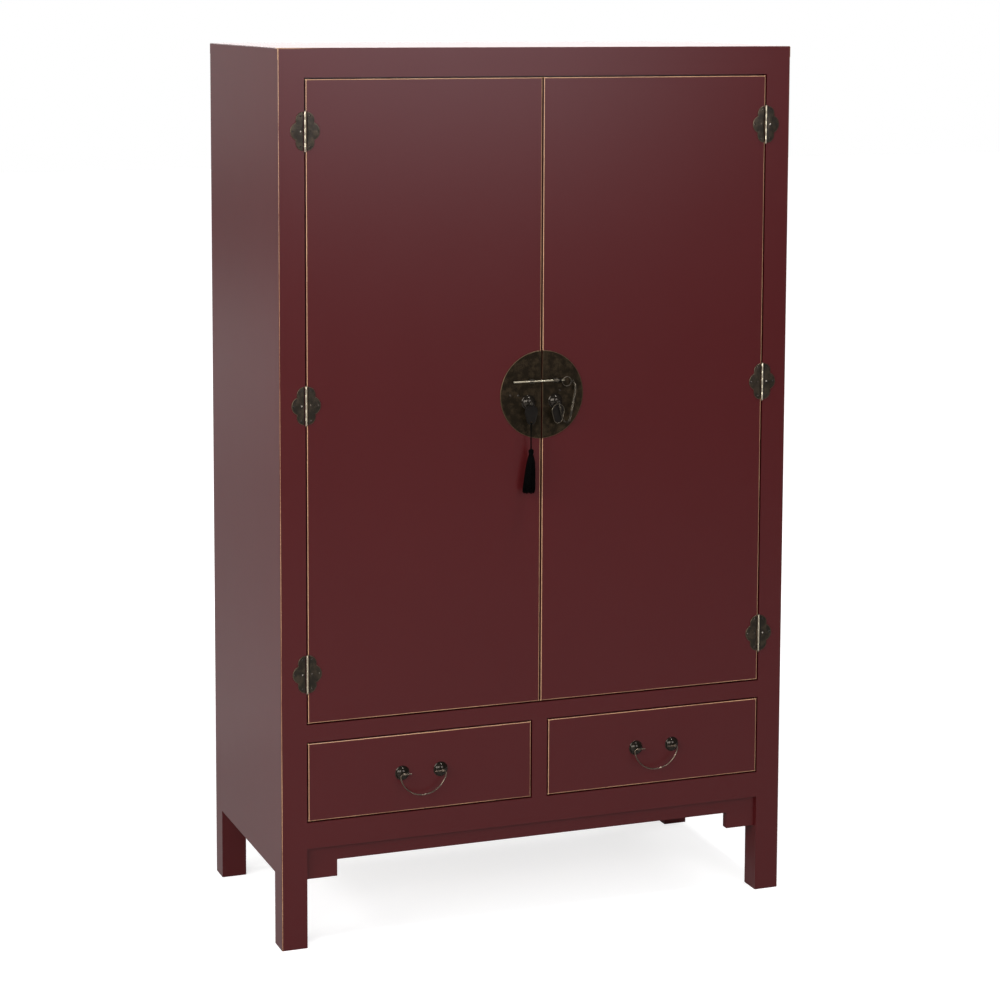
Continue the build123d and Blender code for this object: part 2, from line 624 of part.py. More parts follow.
def drawer_bosses():
    """The two domed washers of one handle."""
    return group([Pos(BAIL_X + s * BAIL_SPREAD / 2, FRONT, BAIL_Z) * boss() for s in (-1, 1)])


def drawer_split_pins():
    """The two split pins whose eyes hold the bail."""
    eye = rod_x(BAIL_EYE_R, -BAIL_EYE_W / 2, BAIL_EYE_W / 2)
    pin = split_pin(eye, BAIL_R + BAIL_FIT, BOX_Y0 - BAIL_Y)
    pin -= rod_x(BAIL_R + BAIL_FIT, -BAIL_EYE_W, BAIL_EYE_W)
    return group([Pos(BAIL_X + s * BAIL_SPREAD / 2, BAIL_Y, BAIL_Z) * pin for s in (-1, 1)])


def drawer_bail():
    """A wire bail: two turned-in ends and a round drop made of tangent arcs."""
    half = BAIL_SPREAD / 2
    leg_x = half + BAIL_OUTER
    c = BAIL_CORNER_R
    below = BAIL_DROP - c
    # The lower arc is tangent to both side arcs and to the level of the drop.
    a = leg_x - BAIL_SIDE_R
    low_r = (a ** 2 + below ** 2 - BAIL_SIDE_R ** 2) / (2 * (below - BAIL_SIDE_R))
    low_z = -BAIL_DROP + low_r
    lean = math.atan2(-c - low_z, a)
    meet = (low_r * math.cos(lean), low_z + low_r * math.sin(lean))
    mid_turn = lean / 2
    side_mid = (a + BAIL_SIDE_R * math.cos(mid_turn), -c + BAIL_SIDE_R * math.sin(mid_turn))
    elbow = c * (1 - math.sqrt(0.5))
    edges = []
    for s in (1, -1):
        end, turn = (s * (half - BAIL_INNER), 0), (s * (leg_x - c), 0)
        edges.append(Line(end, turn))
        leg, joined = (s * leg_x, -c), (s * meet[0], meet[1])
        edges.append(ThreePointArc(turn, (s * (leg_x - elbow), -elbow), leg))
        edges.append(ThreePointArc(leg, (s * side_mid[0], side_mid[1]), joined))
    edges.append(ThreePointArc(meet, (0, -BAIL_DROP), (-meet[0], meet[1])))
    path = Plane.XZ * Wire([edge.edge() for edge in edges])
    section = Plane((half - BAIL_INNER, 0, 0), z_dir=(1, 0, 0)) * Circle(BAIL_R)
    return Pos(BAIL_X, BAIL_Y, BAIL_Z) * sweep(section, path=path)


# ---- Writing the nodes ----
PIECES = {
    "left_front_leg": leg(-1, front=True),
    "right_front_leg": leg(1, front=True),
    "left_back_leg": leg(-1, front=False),
    "right_back_leg": leg(1, front=False),
    "left_side_panel": side_panel(-1),
    "right_side_panel": side_panel(1),
    "back_panel": back_panel(),
    "top_board": top_board(),
    "top_rail": rail(TOP_RAIL_Z, LEG_TOP),
    "middle_rail": rail(MIDDLE_RAIL_Z, FLOOR_TOP),
    "bottom_rail": rail(BOTTOM_RAIL_Z, BOTTOM_RAIL_TOP),
    "back_rails": back_rails(),
    "drawer_divider": drawer_divider(),
    "front_apron": apron(),
    "wardrobe_floor": inner_board(FLOOR_TOP - BOARD_T, LEGS_Y0),
    "shelves": group([inner_board(z, LEGS_Y0 + SHELF_SETBACK, SHELF_PLAY) for z in SHELF_Z]),
    "shelf_battens": group([shelf_batten(side, z) for side in (-1, 1) for z in SHELF_Z]),
    "drawer_runners": drawer_runners(),
    "door_stops": door_stops(),
}

FRAME_KNUCKLES, DOOR_KNUCKLES = range(0, KNUCKLES, 2), range(1, KNUCKLES, 2)
FRAME_LEAVES = hinge_leaves(1, FRAME_KNUCKLES)
DOOR_LEAVES = hinge_leaves(-1, DOOR_KNUCKLES)
PINS = group([Pos(HINGE_X, HINGE_Y, z) * hinge_pin() for z in HINGE_ZS])
FRAME_NAILS = group([nail(x, z, FRONT - LEAF_T) for x, z in leaf_spots(1)])
PIECES["left_hinge_frame_leaves"] = flipped(FRAME_LEAVES)
PIECES["right_hinge_frame_leaves"] = FRAME_LEAVES
PIECES["hinge_pins"] = group([flipped(PINS), PINS])
PIECES["hinge_frame_nails"] = group([flipped(FRAME_NAILS), FRAME_NAILS])

SIDES = (("left", -1, PLATE_NAIL_SPOTS_LEFT), ("right", 1, PLATE_NAIL_SPOTS_RIGHT))
for side_name, side, plate_spots in SIDES:
    nails = [nail(x, z, FRONT - LEAF_T) for x, z in leaf_spots(-1)]
    nails += [nail(side * x, PLATE_Z + z, PLATE_FACE) for x, z in plate_spots]
    door_pieces = {
        "door_panel": door_panel(side, plate_spots),
        "door_battens": door_battens(),
        "hinge_door_leaves": DOOR_LEAVES,
        "door_nails": group(nails),
        "lock_plate": lock_plate(side, plate_spots),
        "pendant_boss": Pos(PENDANT_X, PLATE_FACE, EYE_Z) * boss(),
        "door_split_pins": door_split_pins(side),
        "pendant": pendant(cord_hole=side < 0),
        "drawer_front": drawer_front(),
        "drawer_sides": drawer_sides(),
        "drawer_back": drawer_back(),
        "drawer_bottom": drawer_bottom(),
        "drawer_bosses": drawer_bosses(),
        "drawer_split_pins": drawer_split_pins(),
        "drawer_bail": drawer_bail(),
    }
    for name, piece in door_pieces.items():
        PIECES[side_name + "_" + name] = flipped(piece) if side < 0 else piece

PIECES["lock_pin"] = lock_pin()
PIECES["lock_ring"] = lock_ring()
PIECES["lock_chain"] = lock_chain()
PIECES["tassel_cord"] = tassel_cord()
PIECES["tassel_head"] = tassel_head()
PIECES["tassel_skirt"] = tassel_skirt()

os.makedirs("parts", exist_ok=True)
for name, piece in PIECES.items():
    save(name, piece)
    print(name, len(piece.solids()), "solids")
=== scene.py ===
# %% [markdown]
# # A lacquered wedding cabinet
# A cabinet like this is two tall doors over two drawers, painted in satin burgundy lacquer that
# is rubbed through to ochre along its edges, with dark bronze fittings and a silk tassel. Its
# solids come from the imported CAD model, which is the fixed frame. Here each solid gets its
# finish, and the fittings whose charm is in their small relief are built anew on top of it.

# %% Load the solids
import math

import bmesh
import bpy
import numpy as np
from mathutils import Matrix, Vector


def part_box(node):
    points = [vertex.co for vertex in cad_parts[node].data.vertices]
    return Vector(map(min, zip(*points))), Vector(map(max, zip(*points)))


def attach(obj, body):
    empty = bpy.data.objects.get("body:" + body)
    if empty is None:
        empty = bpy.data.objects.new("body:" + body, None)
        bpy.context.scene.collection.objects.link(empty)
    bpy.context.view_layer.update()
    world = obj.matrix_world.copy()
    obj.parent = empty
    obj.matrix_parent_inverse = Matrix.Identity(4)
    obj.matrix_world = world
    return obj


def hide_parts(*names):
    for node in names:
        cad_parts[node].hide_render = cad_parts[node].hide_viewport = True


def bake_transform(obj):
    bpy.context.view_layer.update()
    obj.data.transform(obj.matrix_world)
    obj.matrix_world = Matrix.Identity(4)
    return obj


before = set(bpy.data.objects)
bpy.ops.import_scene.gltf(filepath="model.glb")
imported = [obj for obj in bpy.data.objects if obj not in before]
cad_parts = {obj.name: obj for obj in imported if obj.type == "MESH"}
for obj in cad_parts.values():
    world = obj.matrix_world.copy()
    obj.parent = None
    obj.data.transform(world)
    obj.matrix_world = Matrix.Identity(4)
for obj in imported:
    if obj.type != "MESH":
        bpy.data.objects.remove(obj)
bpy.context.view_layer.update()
MM = 0.001

# %% [markdown]
# ## Camera
# A long lens stands left of the cabinet and a little above its top, so the top board is seen as
# a thin bright strip and the left side is visible. The lens looks slightly down. A small vertical
# shift lowers the frame without tilting the camera further.

# %% Place the camera
LENS_PLACE = Vector((-1.7114, -4.5017, 1.6900))
YAW, PITCH, ROLL = (math.radians(angle) for angle in (20.827, 6.268, 0.227))
FOCAL_LENGTH = 93.13
SHIFT_DOWN = 0.22

ahead = Vector((math.sin(YAW) * math.cos(PITCH), math.cos(YAW) * math.cos(PITCH), -math.sin(PITCH)))
level = Vector((math.cos(YAW), -math.sin(YAW), 0.0))
upright = level.cross(ahead)
right = level * math.cos(ROLL) + upright * math.sin(ROLL)
above = upright * math.cos(ROLL) - level * math.sin(ROLL)


def add_object(name, data):
    """A new object in the scene."""
    thing = bpy.data.objects.new(name, data)
    bpy.context.scene.collection.objects.link(thing)
    return thing


camera = add_object("camera", bpy.data.cameras.new("camera"))
camera.data.lens = FOCAL_LENGTH
camera.data.shift_y = -SHIFT_DOWN
turn = Matrix((right, above, -ahead)).transposed().to_4x4()
camera.matrix_world = Matrix.Translation(LENS_PLACE) @ turn
bpy.context.scene.camera = camera
print("camera at", tuple(LENS_PLACE), "with a", FOCAL_LENGTH, "mm lens")

# %% [markdown]
# ## The tassel's cord
# The tassel hangs on one thin cord: it leaves the bound head, goes up and over the rim of the
# pendant's lower hole, and comes down again into the head. A cord is a curve and not a mesh,
# because its length matters, and a spline with a round bevel has one. The points are the route's
# corners, and the spline rounds them.

# %% Lay the cord
CORD_THICK = 1.4 * MM
FOLD = 2.4 * MM              # middle of the fold to each strand
STRAIGHT_FROM_FOLD = 8.4 * MM

cord_low, cord_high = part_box("tassel_cord")
cord_x = (cord_low.x + cord_high.x) / 2
cord_y = (cord_low.y + cord_high.y) / 2
cord_foot = cord_low.z
fold_z = cord_high.z - CORD_THICK / 2 - FOLD
half_route = [(FOLD, cord_foot), (FOLD, fold_z - STRAIGHT_FROM_FOLD), (FOLD, fold_z), (FOLD, fold_z + FOLD)]
route = [(cord_x, cord_y - out, z) for out, z in half_route]
route += [(cord_x, cord_y + out, z) for out, z in reversed(half_route)]

line = bpy.data.curves.new("tassel_loop", "CURVE")
line.dimensions = "3D"
spline = line.splines.new("NURBS")
spline.points.add(len(route) - 1)
for point, place in zip(spline.points, route):
    point.co = (*place, 1.0)
spline.order_u = 3
spline.use_endpoint_u = True
spline.resolution_u = 10
line.bevel_depth = CORD_THICK / 2
line.bevel_resolution = 3
line.use_fill_caps = True
tassel_loop = add_object("tassel_loop", line)
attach(tassel_loop, "tassel")
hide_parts("tassel_cord")
print("cord of", len(route), "points, from", tuple(round(v, 4) for v in route[0]))

# %% [markdown]
# ## Shader helpers
# Every finish below is a small graph of noises and masks. These helpers add one node each, so a
# finish reads as a list of steps. A socket is linked, and a plain number or colour is set.

# %% Node helpers
def put(tree, socket, value):
    """Links a socket to the input, or sets a plain value on it."""
    if isinstance(value, bpy.types.NodeSocket):
        tree.links.new(value, socket)
    else:
        socket.default_value = value


def calc(tree, operation, a, b=0.0):
    """One Math node: its result for a and b."""
    node = tree.nodes.new("ShaderNodeMath")
    node.operation = operation
    put(tree, node.inputs[0], a)
    put(tree, node.inputs[1], b)
    return node.outputs[0]


def vector_calc(tree, operation, a, b):
    """One Vector Math node: its result for the vectors a and b."""
    node = tree.nodes.new("ShaderNodeVectorMath")
    node.operation = operation
    put(tree, node.inputs[0], a)
    put(tree, node.inputs[1], b)
    return node.outputs[0]


def split(tree, vector):
    """The x, y and z of a vector."""
    node = tree.nodes.new("ShaderNodeSeparateXYZ")
    tree.links.new(vector, node.inputs[0])
    return node.outputs


def shaded(tree, colour, amount):
    """A colour times a number."""
    node = tree.nodes.new("ShaderNodeVectorMath")
    node.operation = "SCALE"
    put(tree, node.inputs[0], colour)
    put(tree, node.inputs["Scale"], amount)
    return node.outputs[0]


def own_place(tree):
    """A point's place on the object, in metres."""
    return tree.nodes.new("ShaderNodeTexCoord").outputs["Object"]


def noise(tree, place, scale, detail=3.0, stretch=None):
    """Soft noise from 0 to 1 with scale features to the metre, finer along a stretched axis."""
    node = tree.nodes.new("ShaderNodeTexNoise")
    node.inputs["Scale"].default_value = scale
    node.inputs["Detail"].default_value = detail
    where = vector_calc(tree, "MULTIPLY", place, stretch) if stretch else place
    tree.links.new(where, node.inputs["Vector"])
    return node.outputs["Fac"]


def ease(tree, value, low, high, out_low=0.0, out_high=1.0):
    """A smooth step: out_low where value is below low, out_high where it is above high."""
    node = tree.nodes.new("ShaderNodeMapRange")
    node.interpolation_type = "SMOOTHSTEP"
    for socket, amount in zip(node.inputs, (value, low, high, out_low, out_high)):
        put(tree, socket, amount)
    return node.outputs[0]


def mix(tree, factor, a, b, blend="MIX"):
    """One colour mix: a where factor is 0 and b where it is 1."""
    node = tree.nodes.new("ShaderNodeMix")
    node.data_type = "RGBA"
    node.blend_type = blend
    put(tree, node.inputs[0], factor)
    put(tree, node.inputs[6], a)
    put(tree, node.inputs[7], b)
    return node.outputs[2]


SOCKETS = {"number": "NodeSocketFloat", "vector": "NodeSocketVector", "colour": "NodeSocketColor"}


def shader_group(name, inputs, outputs):
    """An empty node group with named sockets: its tree, its input node and its output node."""
    tree = bpy.data.node_groups.new(name, "ShaderNodeTree")
    for socket_name, kind in inputs:
        tree.interface.new_socket(socket_name, in_out="INPUT", socket_type=SOCKETS[kind])
    for socket_name, kind in outputs:
        tree.interface.new_socket(socket_name, in_out="OUTPUT", socket_type=SOCKETS[kind])
    given = tree.nodes.new("NodeGroupInput")
    result = tree.nodes.new("NodeGroupOutput")
    return tree, given, result


def use_group(tree, group, **values):
    """Places a group in a material and gives it its values. Underscores in names are spaces."""
    node = tree.nodes.new("ShaderNodeGroup")
    node.node_tree = group
    for name, value in values.items():
        put(tree, node.inputs[name.replace("_", " ")], value)
    return node


def new_material(name):
    """A material with one Principled shader: the material, its tree and the shader."""
    material = bpy.data.materials.new(name)
    material.use_nodes = True
    tree = material.node_tree
    shader = tree.nodes["Principled BSDF"]
    return material, tree, shader


def surface(tree, shader, pattern, shine, depth):
    """Links a pattern's colour, roughness and height to the shader. Shine is the specular level,
    and depth the height's in metres."""
    tree.links.new(pattern.outputs["Color"], shader.inputs["Base Color"])
    tree.links.new(pattern.outputs["Roughness"], shader.inputs["Roughness"])
    shader.inputs["Specular IOR Level"].default_value = shine
    bump = tree.nodes.new("ShaderNodeBump")
    bump.inputs["Strength"].default_value = 1.0
    bump.inputs["Distance"].default_value = depth
    tree.links.new(pattern.outputs["Height"], bump.inputs["Height"])
    tree.links.new(bump.outputs["Normal"], shader.inputs["Normal"])


print("helpers ready")

# %% [markdown]
# ## Rubbed edges
# The maker sands through the lacquer along the edges, and the ochre ground shows as a fine line.
# A mesh could carry that line as its own faces, but a mask is simpler: near an edge of a box, two
# of the three distances to its faces are small at once. So the mask looks at the middle one of
# the three distances, and a noise makes the line a little wider and narrower along its way. The
# hand that sands rests on the front, so the line is wider there than on the side of the edge.

# %% Mask of rubbed edges
def make_rubbed_edge():
    """Distances to the box's faces are min(place - low, high - place) on each axis, and depth
    counts three times. The second smallest is the distance to the nearest edge, and the mask falls
    from 1 to 0 at the width."""
    tree, given, result = shader_group(
        "Rubbed edge", [("Low", "vector"), ("High", "vector"), ("Width", "number"), ("Wander", "number")],
        [("Wear", "number")])
    place = own_place(tree)
    from_low = vector_calc(tree, "SUBTRACT", place, given.outputs["Low"])
    from_high = vector_calc(tree, "SUBTRACT", given.outputs["High"], place)
    inside = vector_calc(tree, "MINIMUM", from_low, from_high)
    inside = vector_calc(tree, "MULTIPLY", inside, (1.0, 3.0, 1.0))
    x, y, z = split(tree, inside)
    smaller = calc(tree, "MINIMUM", x, y)
    larger = calc(tree, "MAXIMUM", x, y)
    to_edge = calc(tree, "MAXIMUM", smaller, calc(tree, "MINIMUM", larger, z))
    slow = calc(tree, "SUBTRACT", noise(tree, place, 9.0, 2.0), 0.5)
    quick = calc(tree, "SUBTRACT", noise(tree, place, 260.0, 2.0), 0.5)
    wander = calc(tree, "ADD", slow, calc(tree, "MULTIPLY", quick, 0.5))
    wander = calc(tree, "MULTIPLY", wander, given.outputs["Wander"])
    width = calc(tree, "MULTIPLY", given.outputs["Width"], calc(tree, "ADD", wander, 1.0))
    inner = calc(tree, "MULTIPLY", width, 0.75)
    outer = calc(tree, "MULTIPLY", width, 1.2)
    put(tree, result.inputs["Wear"], ease(tree, to_edge, inner, outer, 1.0, 0.0))
    return tree


rubbed_edge = make_rubbed_edge()
print("group:", rubbed_edge.name)

# %% [markdown]
# ## Burgundy lacquer
# The lacquer is a satin film. Seen close, its colour drifts slightly, a brush has left faint
# lines along the height, and the surface has a soft orange peel. All of that is noise at several
# scales. The worn line is duller and a hair lower than the film beside it.

# %% Lacquer film
def make_lacquer_film():
    """Colour times a slow drift near 1, then the ground where Wear is 1. Height adds a
    fine peel and long brush lines, and drops where the film is gone."""
    tree, given, result = shader_group(
        "Lacquer film", [("Film", "colour"), ("Ground", "colour"), ("Wear", "number")],
        [("Color", "colour"), ("Roughness", "number"), ("Height", "number")])
    place = own_place(tree)
    drift = noise(tree, place, 2.6, 3.0)
    cloud = noise(tree, place, 11.0, 4.0)
    brush = noise(tree, place, 1.0, 2.0, stretch=(420.0, 420.0, 7.0))
    peel = noise(tree, place, 330.0, 2.0)
    tone = calc(tree, "ADD", calc(tree, "MULTIPLY", drift, 0.08), calc(tree, "MULTIPLY", cloud, 0.03))
    tone = calc(tree, "ADD", tone, calc(tree, "MULTIPLY", brush, 0.03))
    tone = calc(tree, "ADD", tone, 0.93)
    toned = shaded(tree, given.outputs["Film"], tone)
    speckle = noise(tree, place, 700.0, 2.0)
    ground = shaded(tree, given.outputs["Ground"], ease(tree, speckle, 0.2, 0.8, 0.75, 1.15))
    put(tree, result.inputs["Color"], mix(tree, given.outputs["Wear"], toned, ground))
    gloss = ease(tree, cloud, 0.25, 0.75, 0.275, 0.285)
    gloss = calc(tree, "ADD", gloss, calc(tree, "MULTIPLY", given.outputs["Wear"], 0.12))
    put(tree, result.inputs["Roughness"], gloss)
    height = calc(tree, "ADD", calc(tree, "MULTIPLY", peel, 0.5), calc(tree, "MULTIPLY", brush, 0.5))
    put(tree, result.inputs["Height"], calc(tree, "SUBTRACT", height, given.outputs["Wear"]))
    return tree


lacquer_film = make_lacquer_film()
BURGUNDY = (0.061, 0.0062, 0.0069, 1.0)
OCHRE = (0.52, 0.315, 0.17, 1.0)
EDGE_WIDTH = 1.65 * MM
PEEL_DEPTH = 0.004 * MM


def lacquer(name, low, high, width=EDGE_WIDTH, wander=0.5, where=None):
    """Burgundy lacquer whose edges are rubbed along the box from low to high. The function where,
    if there is one, gives the share of the wear at each place."""
    material, tree, shader = new_material(name)
    edge = use_group(tree, rubbed_edge, Low=low, High=high, Width=width, Wander=wander)
    wear = edge.outputs["Wear"]
    if where:
        wear = calc(tree, "MULTIPLY", wear, where(tree))
    film = use_group(tree, lacquer_film, Film=BURGUNDY, Ground=OCHRE, Wear=wear)
    surface(tree, shader, film, 0.26, PEEL_DEPTH)
    return material


leg_low, top_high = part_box("left_front_leg")[0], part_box("top_board")[1]
BELOW_FLOOR = 1.0            # the wear box goes on under the floor, so the feet aren't rubbed
CARCASS_EDGE_WIDTH = 1.4 * MM


def carcass_wear(tree):
    """Full at the left end of the front, fading over 9 cm, a trace at its right end, none behind."""
    x, y, _ = split(tree, own_place(tree))
    left = ease(tree, x, leg_low.x + 0.02, leg_low.x + 0.09, 0.8, 0.0)
    right_end = ease(tree, x, top_high.x - 0.03, top_high.x, 0.0, 0.25)
    front_edge = ease(tree, y, leg_low.y + 0.005, leg_low.y + 0.02, 1.0, 0.0)
    return calc(tree, "MULTIPLY", calc(tree, "ADD", left, right_end), front_edge)


carcass_lacquer = lacquer("carcass_lacquer", (*leg_low.xy, -BELOW_FLOOR), tuple(top_high),
                          width=CARCASS_EDGE_WIDTH, wander=1.0, where=carcass_wear)
panel_lacquer = {}
for node in ("left_door_panel", "right_door_panel", "left_drawer_front", "right_drawer_front"):
    low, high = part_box(node)
    panel_lacquer[node] = lacquer(node + "_lacquer", tuple(low), tuple(high))
print("lacquers:", 1 + len(panel_lacquer))

# %% [markdown]
# ## Plain wood inside
# The back, the shelves and the drawer boxes are bare wood. Its grain is a noise that is drawn out
# along the board: slow bands for the year rings and short dark dashes for the pores.

# %% Inner wood
def make_grain():
    """Bands follow sin(rings * distorted width); Along squeezes the noise along the board."""
    tree, given, result = shader_group(
        "Wood grain", [("Light", "colour"), ("Dark", "colour"), ("Along", "vector")],
        [("Color", "colour"), ("Roughness", "number"), ("Height", "number")])
    place = vector_calc(tree, "MULTIPLY", own_place(tree), given.outputs["Along"])
    figure = noise(tree, place, 3.0, 4.0)
    bands = calc(tree, "SINE", calc(tree, "MULTIPLY", figure, 95.0))
    bands = ease(tree, bands, -1.0, 1.0)
    pores = ease(tree, noise(tree, place, 90.0, 2.0), 0.56, 0.68)
    tint = noise(tree, place, 1.2, 2.0)
    amount = calc(tree, "ADD", calc(tree, "MULTIPLY", bands, 0.45), calc(tree, "MULTIPLY", tint, 0.4))
    amount = calc(tree, "ADD", amount, calc(tree, "MULTIPLY", pores, 0.35))
    put(tree, result.inputs["Color"], mix(tree, amount, given.outputs["Light"], given.outputs["Dark"]))
    put(tree, result.inputs["Roughness"], ease(tree, amount, 0.0, 1.0, 0.52, 0.7))
    put(tree, result.inputs["Height"], calc(tree, "SUBTRACT", 1.0, pores))
    return tree


wood_grain = make_grain()
ELM_LIGHT = (0.36, 0.20, 0.095, 1.0)
ELM_DARK = (0.16, 0.075, 0.032, 1.0)
GRAIN_X, GRAIN_Y, GRAIN_Z = (0.06, 1.0, 1.0), (1.0, 0.06, 1.0), (1.0, 1.0, 0.06)


def bare_wood(name, along):
    """Oiled elm with its grain along one axis."""
    material, tree, shader = new_material(name)
    grain = use_group(tree, wood_grain, Light=ELM_LIGHT, Dark=ELM_DARK, Along=along)
    surface(tree, shader, grain, 0.3, 0.12 * MM)
    return material


wood_across = bare_wood("wood_across", GRAIN_X)
wood_deep = bare_wood("wood_deep", GRAIN_Y)
wood_upright = bare_wood("wood_upright", GRAIN_Z)
print("woods: across, deep and upright")

# %% [markdown]
# ## Old bronze and worn brass
# The fittings are brass that was darkened on purpose. The brown film is uneven, and fingers have
# brought the bright metal back on rims and on round parts that are touched. Pieces that are built
# below carry a rim value on their points: 1 at a rubbed edge, 0 away from it, and below 0 beside
# a hinge pin, where it paints shade into the colour. The metal reads it.

# %% Metals
def make_patina():
    """Two noises, 8 mm and 1.5 mm wide, decide where the film is thin. A rim above 0 adds bright
    metal, up to the share Polish, and a rim below 0 paints shade, darkening the colour down to a tenth."""
    tree, given, result = shader_group(
        "Patina", [("Film", "colour"), ("Metal", "colour"), ("Thin", "number"), ("Polish", "number"),
                   ("Dull", "number"), ("Rim", "number")],
        [("Color", "colour"), ("Roughness", "number"), ("Metallic", "number"), ("Height", "number")])
    place = own_place(tree)
    patches = noise(tree, place, 95.0, 4.0)
    specks = noise(tree, place, 620.0, 3.0)
    blend = calc(tree, "ADD", calc(tree, "MULTIPLY", patches, 0.62), calc(tree, "MULTIPLY", specks, 0.38))
    bare = ease(tree, blend, 0.42, 0.66)
    bare = calc(tree, "MULTIPLY", bare, given.outputs["Thin"])
    touched = calc(tree, "ADD", given.outputs["Rim"], calc(tree, "MULTIPLY", specks, 0.5))
    polished = calc(tree, "MULTIPLY", ease(tree, touched, 0.65, 1.15), given.outputs["Polish"])
    bare = calc(tree, "MAXIMUM", bare, polished)
    tone = mix(tree, bare, given.outputs["Film"], given.outputs["Metal"])
    # Painted shade: a rim value below 0 darkens the colour, down to a tenth.
    painted_shade = ease(tree, given.outputs["Rim"], -1.0, 0.0, 0.1, 1.0)
    put(tree, result.inputs["Color"], shaded(tree, tone, painted_shade))
    soft = calc(tree, "MULTIPLY", given.outputs["Dull"], ease(tree, bare, 0.0, 1.0, 1.0, 0.7))
    put(tree, result.inputs["Roughness"], soft)
    put(tree, result.inputs["Metallic"], ease(tree, bare, 0.0, 0.6, 0.6, 1.0))
    put(tree, result.inputs["Height"], calc(tree, "ADD", patches, calc(tree, "MULTIPLY", specks, 0.4)))
    return tree


patina = make_patina()


def metal(name, film, bright, thin, polish=0.7, dull=0.45, relief=0.1 * MM, shine=0.5, where=None):
    """Metal under an uneven dark film. Thin is the share of bright metal that shows through it,
    polish the share on rubbed rims, dull the roughness of the film, relief its depth and shine
    its gloss. The function where, if there is one, gives the share of thin at each place."""
    material, tree, shader = new_material(name)
    rim = tree.nodes.new("ShaderNodeAttribute")
    rim.attribute_name = "rim"
    if where:
        thin = calc(tree, "MULTIPLY", where(tree), thin)
    old = use_group(tree, patina, Film=(*film, 1.0), Metal=(*bright, 1.0), Thin=thin, Polish=polish,
                    Dull=dull, Rim=rim.outputs["Fac"])
    tree.links.new(old.outputs["Metallic"], shader.inputs["Metallic"])
    surface(tree, shader, old, shine, relief)
    return material


SMOOTH = 0.0001 * MM         # a spun dome has next to no relief
plate_bronze = metal("plate_bronze", (0.0115, 0.0083, 0.0045), (0.26, 0.18, 0.10), 0.10, 0.35, 0.42,
                     shine=0.08)
leaf_bronze = metal("leaf_bronze", (0.015, 0.011, 0.006), (0.26, 0.19, 0.12), 0.14, 0.3, 0.36)
boss_bronze = metal("boss_bronze", (0.020, 0.016, 0.012), (0.08, 0.07, 0.055), 0.2, 0.3, 0.10,
                    relief=SMOOTH, shine=0.3)
drop_bronze = metal("drop_bronze", (0.008, 0.0065, 0.005), (0.03, 0.026, 0.022), 0.4, 0.2, 0.45, shine=0.2)
# Bright metal for the right pendant's bead: a painted highlight on its rim.
highlight_bead_bronze = metal("highlight_bead_bronze", (0.02, 0.017, 0.013), (0.24, 0.20, 0.14), 0.2, 0.4, 0.3)
staple_bronze = metal("staple_bronze", (0.022, 0.018, 0.013), (0.24, 0.20, 0.145), 0.3, 0.45, 0.3)
bright_brass = metal("bright_brass", (0.27, 0.235, 0.165), (0.50, 0.46, 0.35), 0.8, 0.9, 0.34)
barrel_brass = metal("barrel_brass", (0.38, 0.33, 0.24), (0.66, 0.60, 0.46), 0.8, 0.9, 0.34)
wire_brass = metal("wire_brass", (0.065, 0.05, 0.035), (0.30, 0.23, 0.17), 0.7, 0.7, 0.28)
chain_brass = metal("chain_brass", (0.02, 0.016, 0.010), (0.32, 0.27, 0.20), 0.5, 0.7, 0.2)
nail_iron = metal("nail_iron", (0.018, 0.014, 0.012), (0.16, 0.13, 0.10), 0.6, 0.7, 0.3)
print("metals: plate, leaf, boss, drop, bead, staple, brass, barrel, wire, chain and nail")

# %% [markdown]
# ## Silk thread
# The tassel is black silk. Each thread shows a fine sheen that runs with its twist, so the thread
# material paints it as narrow, slightly lighter slanted bands, and has a trace of shader sheen too.

# %% Thread
SILK_DARK = (0.0003, 0.0003, 0.0003, 1.0)
SILK_SHEEN = (0.0018, 0.0018, 0.0017, 1.0)


def make_twist():
    """Slanted bands of painted sheen: sin(turns * height + slope * (x + y)), softened by a noise."""
    tree, given, result = shader_group(
        "Thread twist", [("Turns", "number"), ("Slope", "number")],
        [("Color", "colour"), ("Roughness", "number"), ("Height", "number")])
    place = own_place(tree)
    x, y, z = split(tree, place)
    slant = calc(tree, "MULTIPLY", calc(tree, "ADD", x, y), given.outputs["Slope"])
    phase = calc(tree, "ADD", calc(tree, "MULTIPLY", z, given.outputs["Turns"]), slant)
    bands = ease(tree, calc(tree, "SINE", phase), -0.9, 0.9)
    fibre = noise(tree, place, 1500.0, 2.0)
    amount = calc(tree, "MULTIPLY", bands, ease(tree, fibre, 0.2, 0.8, 0.5, 1.0))
    # The lighter bands are painted sheen along the twist.
    put(tree, result.inputs["Color"], mix(tree, amount, SILK_DARK, SILK_SHEEN))
    put(tree, result.inputs["Roughness"], ease(tree, amount, 0.0, 1.0, 0.75, 0.5))
    put(tree, result.inputs["Height"], amount)
    return tree


thread_twist = make_twist()


def silk(name, turns, slope):
    """Black silk with its twist."""
    material, tree, shader = new_material(name)
    twist = use_group(tree, thread_twist, Turns=turns, Slope=slope)
    shader.inputs["Sheen Weight"].default_value = 0.001
    surface(tree, shader, twist, 0.03, 0.08 * MM)
    return material


thread_silk = silk("thread_silk", 5200.0, 2600.0)
wound_silk = silk("wound_silk", 9000.0, 300.0)
tassel_loop.data.materials.append(thread_silk)
print("silk: threads and windings")

# %% [markdown]
# ## Surfaces from grids
# Every new fitting is a grid of points: rows along a profile or a path, columns around it. The
# quads between neighbours are the same for all of them, so one helper makes them. A patch also
# knows its rim values and its finish. Patches are joined into one piece, which rides on a body.

